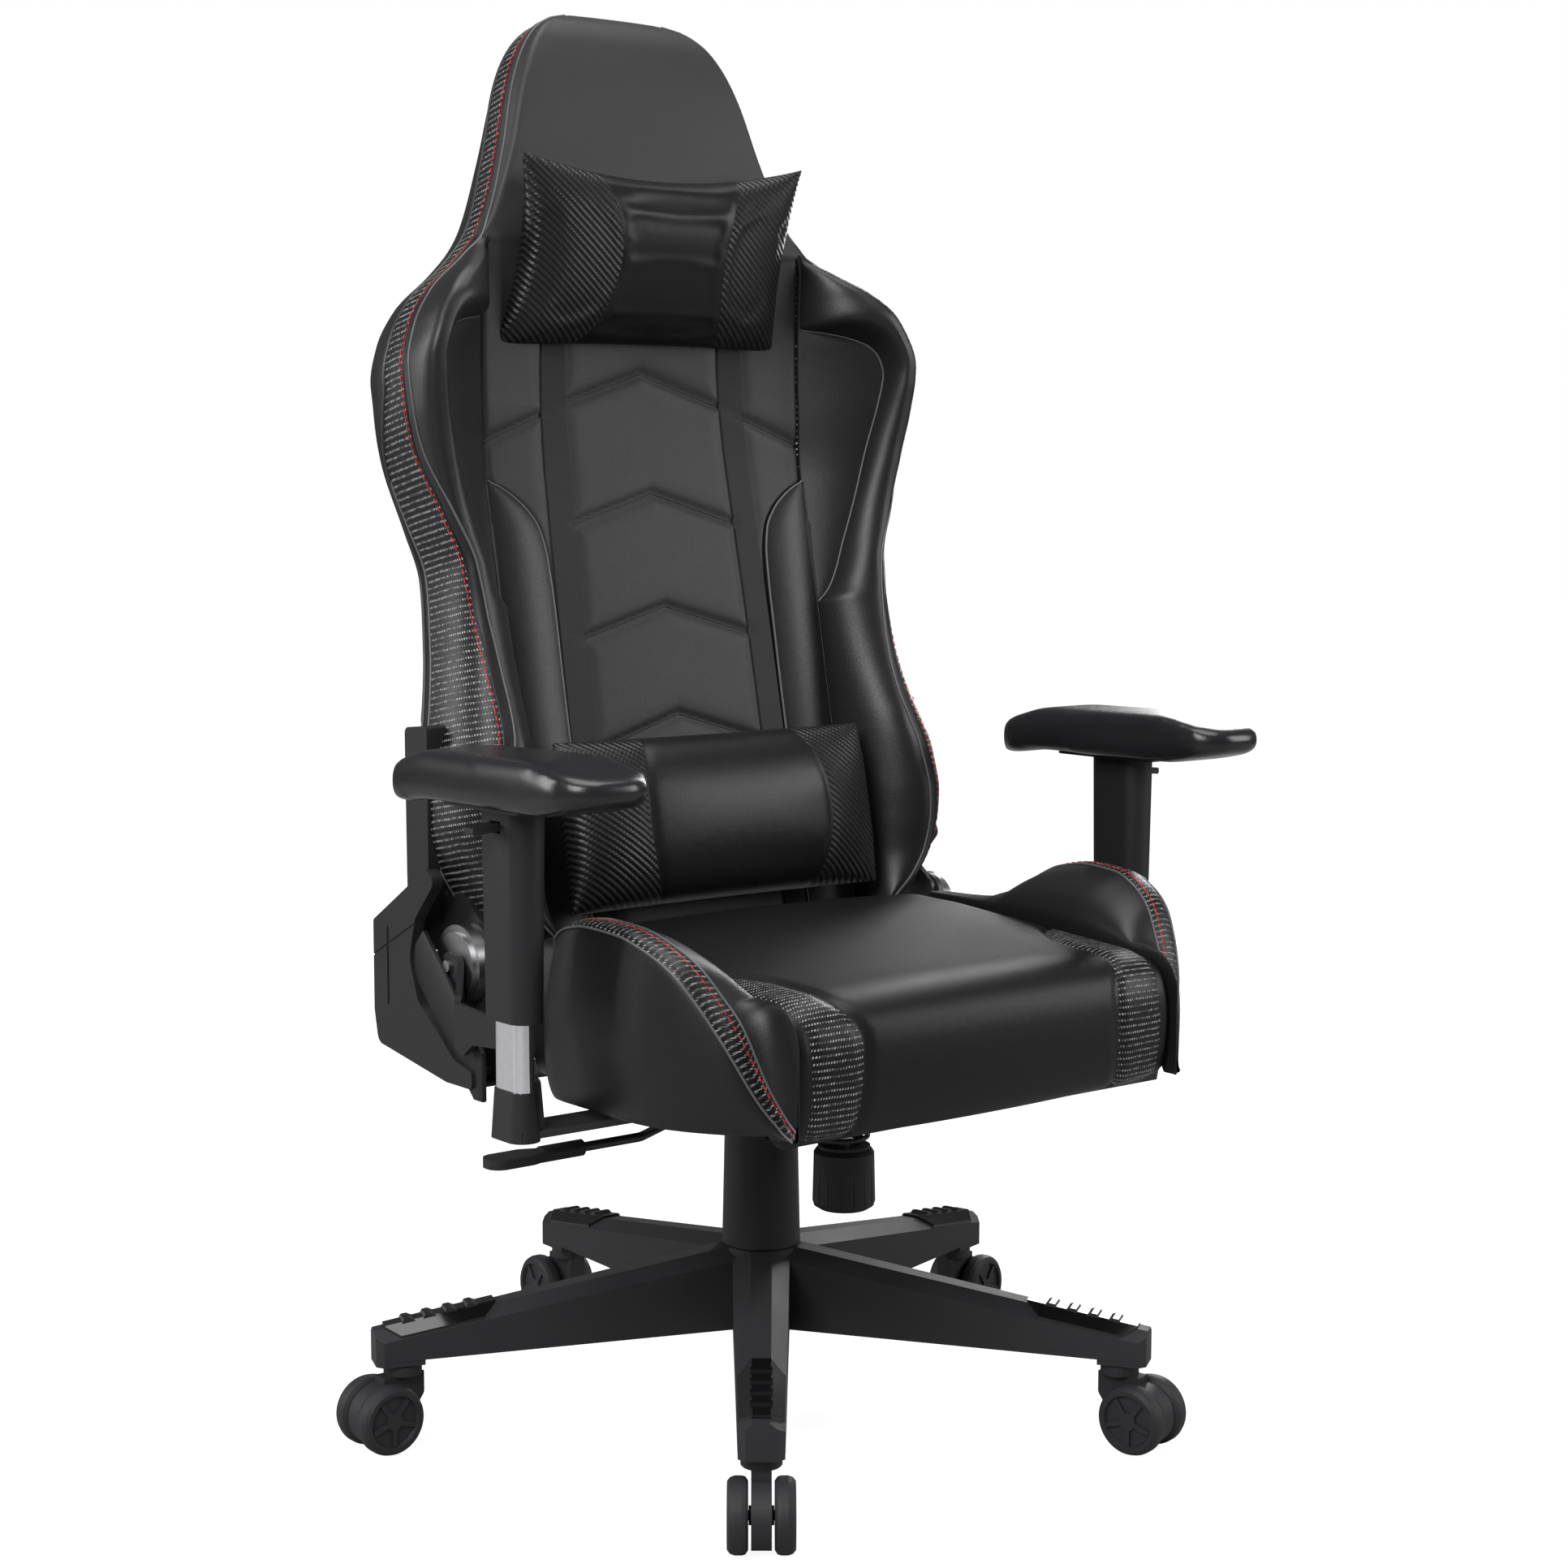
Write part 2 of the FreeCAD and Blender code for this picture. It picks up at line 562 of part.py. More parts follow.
def tension_bolt():
    z = SEAT_PLATE_TOP
    head = Part.makeCylinder(9, 3.5, V(0, BOLT_Y, z))
    return head.fuse(rod(BOLT_R, V(0, BOLT_Y, KNOB_TOP - KNOB_H + 12), V(0, BOLT_Y, z)))


def tilt_spring():
    """Coil between the housing's tongue and the knob, drawn as half turns of wire."""
    low, high = KNOB_TOP + 3.5, TONGUE_Z - GAP
    r, wire = SPRING_R - SPRING_WIRE / 2, SPRING_WIRE / 2
    rise = (high - low - SPRING_WIRE) / SPRING_TURNS
    path = Part.Wire(Part.makeHelix(rise, rise / 2, r))
    start = path.Edges[0]
    profile = Part.Wire(Part.makeCircle(wire, V(r, 0, 0), start.tangentAt(start.FirstParameter)))
    half_turn = path.makePipeShell([profile], True, False)
    coil = []
    for k in range(int(2 * SPRING_TURNS)):
        piece = half_turn.copy()
        piece.rotate(V(0, 0, 0), Z, 180 * k)
        piece.translate(V(0, BOLT_Y, low + wire + k * rise / 2))
        coil.append(piece)
    return coil[0].fuse(coil[1:])


def tension_knob():
    """Fluted knob, bored for the bolt and rebated on top for the coil."""
    foot = KNOB_TOP - KNOB_H
    r = KNOB_R
    knob = turned([(0, foot), (r - 6, foot), (r - 1.2, foot + 3), (r, foot + 7), (r - 1, KNOB_TOP - 3),
                   (r - 3, KNOB_TOP), (0, KNOB_TOP)])
    for k in range(KNOB_FLUTES):
        a = math.radians(360.0 * k / KNOB_FLUTES)
        at = V((r + 1.2) * math.cos(a), (r + 1.2) * math.sin(a), foot + 5)
        knob = knob.cut(Part.makeCylinder(2.2, KNOB_H - 12, at))
    washer = Part.makeCylinder(SPRING_R, 3.2, V(0, 0, KNOB_TOP))
    bore = Part.makeCylinder(BOLT_R + PIN_GAP, KNOB_H, V(0, 0, foot + 12 - GAP))
    knob = knob.fuse(washer).cut(bore)
    knob.translate(V(0, BOLT_Y, 0))
    return knob


def lever_bush():
    """Barrel across the housing's wall that rocks with the lever; the rod slides through it."""
    at = V(-HOUSING_W / 2 + 1.25, 0, LEVER_Z)
    barrel = rod(BUSH_R, at - Y * BUSH_HALF, at + Y * BUSH_HALF)
    return barrel.cut(rod(LEVER_R + PIN_GAP, at - X * 10, at + X * 10))


def height_lever():
    """Bent rod: a flattened tongue over the release pin, out through the bush, down and out."""
    out = V(-LEVER_OUT + 30, PADDLE_Y, LEVER_LOW)
    path = [V(-12, 0, LEVER_Z), V(-60, 0, LEVER_Z), V(-96, -5, LEVER_LOW), V(-160, PADDLE_Y, LEVER_LOW), out]
    bar = tube(path, LEVER_R, 0, 14)
    pin_top = CYLINDER_TOP + PIN_TRAVEL + 0.8
    tongue = Part.makeBox(29, 10, 3, V(-22, -5, pin_top + GAP))
    return bar.fuse(tongue)


def lever_paddle():
    """Moulded handle: a socket over the rod's end and a flat blade."""
    x0, x1, x2 = -LEVER_OUT + 48, -LEVER_OUT + 12, -LEVER_OUT - PADDLE_LENGTH
    w, y, z = PADDLE_W / 2, PADDLE_Y, LEVER_LOW
    socket = Part.makeCylinder(7, x0 - x1 + 5, V(x0, y, z), -X)
    outline = [(x1 + 2, y - 5), (x1 - 18, y - w, 12), (x2, y - w, 12), (x2, y + w, 12), (x1 - 18, y + w, 12),
               (x1 + 2, y + 5)]
    blade = slab(in_xy(z - PADDLE_T / 2, outline), Z * PADDLE_T)
    return socket.fuse(blade).cut(rod(LEVER_R, V(-LEVER_OUT + 30, y, z), V(x0 + 1, y, z)))


# ---- seat ---------------------------------------------------------------------------------
BAR_Z = SEAT_PLATE_TOP
TUBE_Z = BAR_Z + CROSS_BAR_T + SEAT_TUBE_R
WEB_Z = TUBE_Z + SEAT_TUBE_R + GAP
RECLINER_PLATE_X = BACK_PLATE_X + PLATE_T + GAP + PLATE_T     # outer face of the seat's own plates


def seat_frame():
    """Welded frame: a loop of tube on two cross bars, the rear one reaching the recliners."""
    x, y0, y1 = SEAT_TUBE_X, SEAT_FRONT + 56, SEAT_REAR - 12
    loop = tube([V(-x, y0, TUBE_Z), V(x, y0, TUBE_Z), V(x, y1, TUBE_Z), V(-x, y1, TUBE_Z)],
                SEAT_TUBE_R, SEAT_TUBE_R - 1.8, 40, True)
    w = CROSS_BAR_W / 2
    front = Part.makeBox(2 * (x + SEAT_TUBE_R), 2 * w, CROSS_BAR_T, V(-x - SEAT_TUBE_R, FRONT_BAR_Y - w, BAR_Z))
    reach = RECLINER_PLATE_X
    rear = Part.makeBox(2 * reach, 2 * w, CROSS_BAR_T, V(-reach, REAR_BAR_Y - w, BAR_Z))
    holes = [rod(4.2, V(px, py, BAR_Z - 1), V(px, py, BAR_Z + 5)) for px, py in seat_bolt_places()]
    holes += [rod(4.2, V(px, py, BAR_Z - 1), V(px, py, BAR_Z + 5)) for px, py in arm_bolt_places()]
    holes.append(Part.makeCylinder(12, 6, V(0, BOLT_Y, BAR_Z - 1)))
    return loop.fuse([front, rear]).cut(holes)


def seat_webbing():
    """Elastic straps across the frame, under the foam."""
    y0, y1 = SEAT_FRONT + 80, SEAT_REAR - 40
    x, w = SEAT_TUBE_X + 4, 46.0
    straps = []
    for k in range(WEB_COUNT):
        y = y0 + (y1 - y0) * k / (WEB_COUNT - 1)
        straps.append(Part.makeBox(2 * x, w, 2, V(-x, y - w / 2, WEB_Z)))
    return group(straps)


FOAM_Z = WEB_Z + 2 + GAP


def seat_cushion():
    """Centre foam: it lies on the webbing and rolls down over the front of the frame."""
    inner = SEAT_FRONT + 56 - SEAT_TUBE_R - 1
    z0 = BAR_Z + CROSS_BAR_T
    outline = [(SEAT_FRONT + 14, z0, 10), (inner, z0, 0), (inner, FOAM_Z, 0), (SEAT_REAR, FOAM_Z, 8),
               (SEAT_REAR, SEAT_TOP_REAR - 2, 14), (-40, SEAT_TOP_REAR, 60), (SEAT_FRONT + 66, SEAT_TOP_FRONT, 60),
               (SEAT_FRONT + 4, SEAT_TOP_FRONT - 16, 40), (SEAT_FRONT - 2, 372, 60)]
    return slab(in_yz(-SEAT_HALF_W, outline), X * (2 * SEAT_HALF_W))


def seat_bolster():
    """Side bolster at -X: its section, its side view and its plan, cut to one another."""
    x0, x1 = -SEAT_HALF_W - GAP, -BOLSTER_X
    foot = BAR_Z + CROSS_BAR_T + 8
    section = [(x0, foot, 0), (x1 + 26, foot, 14), (x1, 440, 30), (x1 + 8, BOLSTER_TOP, 12),
               (x1 + 34, BOLSTER_TOP - 2, 14), (x0, 446, 8)]
    body = slab(in_xz(SEAT_FRONT, section), Y * (SEAT_REAR - 30 - SEAT_FRONT))
    side = [(SEAT_FRONT + 1, foot - 1, 0), (SEAT_REAR - 30, foot - 1, 0), (SEAT_REAR - 30, 444, 20),
            (-140, BOLSTER_TOP + 4, 60), (-252, 462, 44), (-284, 372, 40)]
    body = body.common(slab(in_yz(-320, side), X * 140))
    plan = [(x0, SEAT_FRONT + 1, 0), (-236, SEAT_FRONT + 20, 20), (x1, -206, 60), (x1, BOLSTER_STEP_Y, 4),
            (-BOLSTER_REAR_X, BOLSTER_STEP_Y + 8, 4), (-BOLSTER_REAR_X, SEAT_REAR, 0), (x0, SEAT_REAR, 0)]
    return body.common(slab(in_xy(300, plan), Z * 220))


# ---- arms ---------------------------------------------------------------------------------
def arm_bolt_places():
    return [(side * x, FRONT_BAR_Y) for side in (-1, 1) for x in (118, 168)]


ARM_BAR_T = 6.0
BOOT_FOOT = 314.0
BOOT_TOP = 353.0


def arm_brackets():
    """Flat bars bolted under the seat frame that carry the arm posts."""
    z1 = BAR_Z
    bar = slab(in_xy(z1 - ARM_BAR_T, [(-ARM_X - 8, ARM_Y - 19, 8), (-96, ARM_Y - 22, 6), (-96, ARM_Y + 16, 6),
                                      (-ARM_X - 8, ARM_Y + 19, 8)]), Z * ARM_BAR_T)
    holes = [rod(4.2, V(x, y, z1 - 9), V(x, y, z1 + 2)) for x, y in arm_bolt_places() if x < 0]
    gusset = slab(in_yz(-ARM_X + 11, [(ARM_Y - 16, z1 - 1), (ARM_Y + 16, z1 - 1), (ARM_Y + 10, BOOT_TOP + 8, 5),
                                      (ARM_Y - 10, BOOT_TOP + 8, 5)]), X * 6)
    return group(sides(bar.fuse(gusset).cut(holes)))


def arm_posts():
    """Oval chromed tubes welded to the brackets."""
    c = V(-ARM_X, ARM_Y, 0)
    post = oval(POST_A, POST_B, BAR_Z, POST_TOP, c).cut(oval(POST_A - 4, POST_B - 4, BAR_Z + 4, POST_TOP + 1, c))
    return group(sides(post))


def arm_boots():
    """Moulded boots over the foot of each post and the end of its bracket."""
    c = V(-ARM_X, ARM_Y, 0)
    body = oval(POST_A + 8, POST_B + 9, BOOT_FOOT, BOOT_TOP, c, POST_A + 3, POST_B + 3)
    z1 = BAR_Z
    hole = oval(POST_A + 0.4, POST_B + 0.4, z1 - 0.2, BOOT_TOP + 1, c)
    bar = Part.makeBox(60, POST_A + 2, ARM_BAR_T + 0.4, V(-ARM_X - 8.2, ARM_Y - POST_A / 2 - 1, z1 - ARM_BAR_T - 0.2))
    gusset = Part.makeBox(7, 34, 80, V(-ARM_X + 10.8, ARM_Y - 17, z1 - 2))
    return group(sides(body.cut(hole).cut(bar).cut(gusset)))


def arm_sleeve():
    """Tapered moulded sleeve that slides on the post, with the plate that carries the arm rest."""
    c = V(-ARM_X, ARM_Y, 0)
    a, b = SLEEVE_A - SLEEVE_TAPER, SLEEVE_B - SLEEVE_TAPER * 0.8
    body = oval(a, b, SLEEVE_FOOT, SLEEVE_TOP, c, SLEEVE_A, SLEEVE_B)
    room = oval(POST_A + 2 * GAP, POST_B + 2 * GAP, SLEEVE_FOOT - 1, POST_TOP + ARM_DOWN + 4, c)
    slot = Part.makeBox(20, 15, 9, V(-ARM_X - 22, ARM_Y - 7.5, TRIGGER_Z - 4.5))
    plate = slab(in_xy(SLEEVE_TOP, [(-ARM_X - 30, ARM_Y - 60, 12), (-ARM_X + 30, ARM_Y - 60, 12),
                                    (-ARM_X + 30, ARM_Y + 60, 12), (-ARM_X - 30, ARM_Y + 60, 12)]), Z * 3)
    return body.cut(room).cut(slot).fuse(plate)


TRIGGER_Z = 560.0


def arm_trigger():
    """Height catch at the sleeve's outer side: a small finger tab on a cross pin."""
    x = -ARM_X - SLEEVE_B / 2
    tab = slab(in_xz(ARM_Y - 7, [(x + 4, TRIGGER_Z - 3), (x - 4, TRIGGER_Z - 3), (x - 24, TRIGGER_Z - 5, 2),
                                 (x - 24, TRIGGER_Z + 1, 2), (x - 4, TRIGGER_Z + 3), (x + 4, TRIGGER_Z + 3)]), Y * 14)
    pin = rod(2.5, V(x + 2, ARM_Y - 7.2, TRIGGER_Z), V(x + 2, ARM_Y + 7.2, TRIGGER_Z))
    return tab.fuse(pin)


def arm_pad():
    """Soft arm rest: a waisted oval in plan, crowned along its length."""
    c = V(-ARM_X, 0, 0)
    w, f, r = PAD_W / 2, PAD_FRONT, PAD_REAR
    plan = [(-w + 3, f, 34), (w - 3, f, 34), (w - 2, (f + r) / 2, 300), (w - 4, r, 34), (-w + 4, r, 34),
            (-w + 2, (f + r) / 2, 300)]
    foot = SLEEVE_TOP + 3
    pad = slab([(p + c, q) for p, q in in_xy(foot - 20, plan)], Z * (PAD_H + 60))
    side = [(f - 5, foot + 12, 8), (f + 55, foot, 60), (r - 62, foot, 60), (r + 5, foot - 9, 4),
            (r + 5, PAD_TOP - 20, 8), (r - 62, PAD_TOP - 1, 90), (f + 60, PAD_TOP + 1, 90), (f - 5, PAD_TOP - 12, 8)]
    pad = pad.common(slab(in_yz(-ARM_X - 60, side), X * 120))
    return pad


# ---- recliner -----------------------------------------------------------------------------
def seat_recliner_plates():
    """Steel side plates of the seat, from the rear cross bar up to the hinge."""
    y, z = HINGE_Y, HINGE_Z
    x = RECLINER_PLATE_X
    outline = [(y - 52, BAR_Z + CROSS_BAR_T, 4), (y - 6, BAR_Z + CROSS_BAR_T, 4), (y + 8, z - 50, 30),
               (y + 38, z - 20, 16), (y + 38, z + 20, 20), (y - 20, z + 40, 20), (y - 40, z, 20), (y - 48, z - 50, 20)]
    plate = slab(in_yz(-x, outline), X * PLATE_T)
    hole = rod(SYNC_ROD_R + 0.5, V(-x - 1, y, z), V(-x + PLATE_T + 1, y, z))
    foot = Part.makeBox(26, 46, 4, V(-x, y - 52, BAR_Z + CROSS_BAR_T))
    return group(sides(plate.cut(hole).fuse(foot)))


def back_recliner_plates():
    """Steel side plates of the back, welded to its frame."""
    x = BACK_PLATE_X
    outline = [on_back(-x, -30, -22), on_back(-x, -30, 22), on_back(-x, 22, 30), on_back(-x, 60, -6),
               on_back(-x, 150, -8), on_back(-x, 150, -50), on_back(-x, 20, -50), on_back(-x, -22, -34)]
    plate = slab([(p, 12) for p in outline], X * -PLATE_T)
    hole = rod(SYNC_ROD_R + 0.5, on_back(-x + 1, 0, 0), on_back(-x - PLATE_T - 1, 0, 0))
    return group(sides(plate.cut(hole)))


def recliner_drums():
    """Round recliner housings on the outside of the seat's plates."""
    x = RECLINER_PLATE_X
    y, z = HINGE_Y, HINGE_Z
    drum = rod(DRUM_R, V(-x, y, z), V(-x - DRUM_T + 3, y, z))
    cap = rod(DRUM_R - 6, V(-x, y, z), V(-x - DRUM_T, y, z))
    drum = drum.fuse(cap).cut(rod(SYNC_ROD_R + 0.5, V(-x + 1, y, z), V(-x - DRUM_T - 1, y, z)))
    return group(sides(drum))


def sync_rod():
    """Shaft through both recliners that the lever turns."""
    end = RECLINER_PLATE_X + DRUM_T
    return rod(SYNC_ROD_R, V(-end - 9, HINGE_Y, HINGE_Z), V(end + 1, HINGE_Y, HINGE_Z))


def recline_lever():
    """Release lever on the sitter's right: hub, scalloped root and forward grip."""
    x = -RECLINER_PLATE_X - DRUM_T - GAP
    y, z = HINGE_Y, HINGE_Z
    outline = [(y + 10, z + 12, 10), (y - 14, z + 10, 8), (y - 30, z - 24, 10), (y - 135, z - 32, 6),
               (y - 137, z - 50, 7), (y - 62, z - 56, 6), (y - 46, z - 68, 5), (y - 34, z - 62, 5),
               (y - 22, z - 66, 5), (y - 12, z - 52, 5), (y - 2, z - 48, 5), (y + 4, z - 30, 8), (y + 13, z - 8, 8)]
    arm = slab(in_yz(x, outline), X * -LEVER_JOG)
    t = 5.0
    plan = [(x, y + 20), (x - t, y + 20), (x - t, y - 14, 6), (x - LEVER_JOG, y - 34, 6), (x - LEVER_JOG, y - 140),
            (x - LEVER_JOG + t, y - 140), (x - LEVER_JOG + t, y - 36, 6), (x, y - 16, 6)]
    lever = arm.common(slab(in_xy(z - 90, plan), Z * 140))
    return lever.cut(rod(SYNC_ROD_R, V(x + 1, y, z), V(x - 8, y, z)))


def side_cover():
    """Faceted plastic cover on the seat, behind and below the recliner, open towards the middle."""
    y, z = HINGE_Y, HINGE_Z
    x = -COVER_X
    outer = [(y + 21, z + 81, 4), (y + 110, z + 27, 4), (y + 110, z - 52, 6), (y + 104, z - 80, 10),
             (y - 8, z - 97, 8), (y - 48, z - 97, 4), (y - 48, z - 82, 4), (y - 20, z - 76, 12),
             (y + 6, z - 56, 20), (y + 36, z - 36, 24), (y + 50, z, 30), (y + 40, z + 36, 20), (y + 6, z + 72, 8)]
    w = WALL
    inner = [(y + 21, z + 77, 2), (y + 110 - w, z + 25, 2), (y + 110 - w, z - 51, 4), (y + 102, z - 78, 8),
             (y - 8, z - 97 + w, 6), (y - 45, z - 97 + w, 2), (y - 45, z - 84, 2), (y - 19, z - 78, 10),
             (y + 8, z - 58, 18), (y + 39, z - 37, 22), (y + 53, z, 28), (y + 43, z + 37, 18), (y + 10, z + 72, 6)]
    shell = slab(in_yz(x, outer), X * COVER_RIM)
    shell = shell.cut(slab(in_yz(x + WALL, inner), X * COVER_RIM))
    floor = [(y + 99, z - 80.8), (y - 8, z - 97), (y - 45, z - 97), (y - 45, z - 94.5), (y - 8, z - 94.5),
             (y + 98.6, z - 78.3)]
    shell = shell.fuse(slab(in_yz(x, floor), X * (COVER_X - RECLINER_PLATE_X - GAP)))
    boss = rod(5, V(x + 1, y - 30, z - 88), V(-RECLINER_PLATE_X, y - 30, z - 88))
    groove = Part.makeBox(1.2, 3, 68, V(x, y + 84, z - 44))
    seam = slab(in_yz(x, [(y + 38, z + 34), (y + 112, z - 4), (y + 112, z - 6), (y + 38, z + 32)]), X * 1.0)
    return shell.cut([groove, seam]).fuse(boss)


def back_cover():
    """Plastic strip on the back's side plate; its lower end swings inside the side cover."""
    x0, x1 = -BACK_PLATE_X - PLATE_T, -COVER_X + COVER_RIM + GAP
    outline = [(STEP_TOP - 12, 6, 3), (STEP_TOP - 8, -30, 6), (84, -54, 10), (30, -64, 6), (8, -56, 4),
               (48, -40, 30), (84, -18, 8)]
    return slab([(on_back(x0, s, t), r) for s, t, r in outline], X * (x1 - x0))


# ---- back ---------------------------------------------------------------------------------
# (distance up the back, half width, depth of the wing's crest)
OUTLINE = [(6, 205, 34), (34, 236, 46), (89, 262, 50), (143, 270, 51), (200, 256, 50), (276, 241, 48),
           (334, 238, 46), (378, 248, 44), (433, 263, 54), (498, 273, 74), (538, 263, 86), (575, 238, 84),
           (600, 205, 70), (625, 180, 52)]
HEAD = [(625, 180, 32), (645, 167, 35), (705, 142, 41), (770, 121, 43), (805, 103, 40), (826, 80, 32), (BACK_TOP, 50, 18)]
PANEL_HALF = [(6, 130), (188, 130), (415, 177), (520, 178), (625, 172)]
PANEL_FRONT = [(6, PANEL_T), (514, PANEL_T), (560, 6), (600, 22), (625, 30)]
WING_TOP = 618.0     # the wings end just under the neck
SPLIT = [(6, BACK_SPLIT), (600, BACK_SPLIT), (705, -14), (770, -2), (BACK_TOP, 6)]
REAR = [(6, BACK_REAR), (600, BACK_REAR), (705, -42), (770, -20), (BACK_TOP, -2)]
REAR_HALF = BACK_PLATE_X - 2.0   # the lower back is narrower behind, beside the side plates
REAR_STEP = 8.0      # depth of that step
STEP_TOP = 215.0
TRAY_TOP = 756.0     # top of the rear cover's hollow


def back_stations(top):
    """Heights of the sections that the pad and the wings share, up to `top`."""
    knots = {row[0] for table in (OUTLINE, PANEL_HALF, PANEL_FRONT) for row in table}
    return sorted(s for s in knots if s < top) + [top]


def section(points, s):
    ring_points = [on_back(x, s, t) for x, t in points]
    return Part.makePolygon(ring_points + ring_points[:1])


def back_pad():
    """Centre foam of the back with the headrest."""
    wires = []
    for s in back_stations(WING_TOP + 2):
        w, front, back = between(s, PANEL_HALF), between(s, PANEL_FRONT), between(s, SPLIT)
        wires.append(section([(-w, back), (w, back), (w, front - 1), (w - 12, front), (-w + 12, front),
                              (-w, front - 1)], s))
    for s, w, front in HEAD:
        back = between(s, SPLIT)
        wires.append(section([(-w, back), (w, back), (w, back + (front - back) * 0.6), (w * 0.8, front),
                              (-w * 0.8, front), (-w, back + (front - back) * 0.6)], s))
    return Part.makeLoft(wires, True, True)


def back_wing():
    """Wing bolster at -X, from the seat to the shoulder."""
    wires = []
    half_width = [(s, w) for s, w, _ in OUTLINE]
    crests = [(s, crest) for s, _, crest in OUTLINE]
    for s in back_stations(WING_TOP):
        inner = between(s, PANEL_HALF) + GAP
        front, back, crest = between(s, PANEL_FRONT), between(s, SPLIT), between(s, crests)
        w = max(between(s, half_width), inner + 8)
        wide = w - inner
        wires.append(section([(-inner, back), (-w, back), (-w, crest - 20 * min(1, wide / 60)),
                              (-w + 0.22 * wide, crest), (-w + 0.45 * wide, crest - 3), (-inner, front)], s))
    wing = Part.makeLoft(wires, True, True)
    room = slab([on_back(-REAR_HALF, -20, BACK_SPLIT - 5), on_back(-REAR_HALF, STEP_TOP, BACK_SPLIT - 5),
                 on_back(-REAR_HALF, STEP_TOP, REAR_STEP), on_back(-REAR_HALF, -20, REAR_STEP)], X * -60)
    return wing.cut(room)


def rear_outline(shrink):
    """(half width, distance) rows of the whole back, drawn in by `shrink`."""
    rows = [(s, w) for s, w, _ in OUTLINE[:-1]] + [(s, w) for s, w, _ in HEAD]
    out = []
    for s, w in rows:
        if s < STEP_TOP:
            w = min(w, REAR_HALF)
        out.append((w - shrink, s + (shrink if s == rows[0][0] else 0)))
    return out


def back_rear_cover():
    """Upholstered tray behind the foam that holds the steel frame."""
    outer, inner = [], []
    for w, s in rear_outline(0):
        split, rear = between(s, SPLIT) - GAP, between(s, REAR)
        outer.append(section([(-w, split), (w, split), (w, split - 8), (w - 14, rear), (-w + 14, rear),
                              (-w, split - 8)], s))
    hollow = [(s, w) for w, s in rear_outline(16)]
    for s in [row[0] for row in hollow if row[0] < TRAY_TOP] + [TRAY_TOP]:
        w, split, rear = between(s, hollow), between(s, SPLIT) + 2, between(s, REAR) + 3.2
        inner.append(section([(-w, split), (w, split), (w, rear), (-w, rear)], s))
    tray = Part.makeLoft(outer, True, True).cut(Part.makeLoft(inner, True, True))
    x = REAR_HALF + 30
    return tray.cut(rod(BACK_TUBE_R + 0.5, on_back(-x, CROSS_S, FRAME_T), on_back(x, CROSS_S, FRAME_T)))


CROSS_S = 62.0
FRAME_T = BACK_SPLIT - GAP - BACK_TUBE_R - 2


def back_frame():
    """Bent tube frame of the back with cross tubes; the lowest meets the side plates."""
    x, t = BACK_TUBE_X, FRAME_T
    right = [V(x, 40, t), V(x, 545, t), V(128, 628, t + 1.5), V(96, 690, t + 12), V(78, 732, t + 23)]
    path = right + [V(-p.x, p.y, p.z) for p in reversed(right)]
    loop = tube([on_back(p.x, p.y, p.z) for p in path], BACK_TUBE_R, BACK_TUBE_R - 1.5, 24)
    end = BACK_PLATE_X
    cross = [rod(BACK_TUBE_R, on_back(-end, CROSS_S, t), on_back(end, CROSS_S, t))]
    cross += [rod(5, on_back(-x, s, t), on_back(x, s, t)) for s in (250, 430)]
    return loop.fuse(cross)


def back_webbing():
    """Elastic straps across the back's frame, behind the foam."""
    x, t = BACK_TUBE_X + 2, BACK_SPLIT - GAP
    straps = []
    for k in range(5):
        s = 120 + 90 * k
        straps.append(slab([on_back(-x, s, t), on_back(x, s, t), on_back(x, s + 46, t), on_back(-x, s + 46, t)],
                           OUT_BACK * -1.6))
    return group(straps)


def pillow_straps():
    """Two flat straps down the centre panel that hold the lumbar pillow."""
    straps = []
    for side in (-1, 1):
        a, b = 97 * side, 107 * side
        w = STRAP_W / 2
        t = PANEL_T + 0.1
        straps.append(slab([on_back(b - w, 14, t), on_back(b + w, 14, t), on_back(a + w, STRAP_TOP, t),
                            on_back(a - w, STRAP_TOP, t)], OUT_BACK * STRAP_T))
    return group(straps)


def pillow(rows, w_corner, w_middle):
    """Closed pillow shape from rows of (s, back depth, front depth)."""
    wires = []
    n = len(rows)
    for i, (s, back, front) in enumerate(rows):
        k = abs(2.0 * i / (n - 1) - 1)
        w = w_middle + (w_corner - w_middle) * k * k
        middle = (back + front) / 2
        wires.append(section([(-w, middle), (-w * 0.6, back), (w * 0.6, back), (w, middle), (w * 0.6, front),
                              (-w * 0.6, front)], s))
    return Part.makeLoft(wires, True, True)


def lumbar_pillow():
    t = PANEL_T + STRAP_T + 0.1 + GAP
    return pillow([(28, t + 34, t + 44), (44, t + 8, t + 66), (74, t, t + 80), (126, t, t + 82), (160, t + 4, t + 70),
                   (180, t + 30, t + 46)], 172, 170)


def head_pillow():
    return pillow([(533, 2, 16), (552, 4.6, 46), (590, 22, 74), (630, 36, 84), (668, 44, 84), (690, 60, 74)],
                  154, 142)


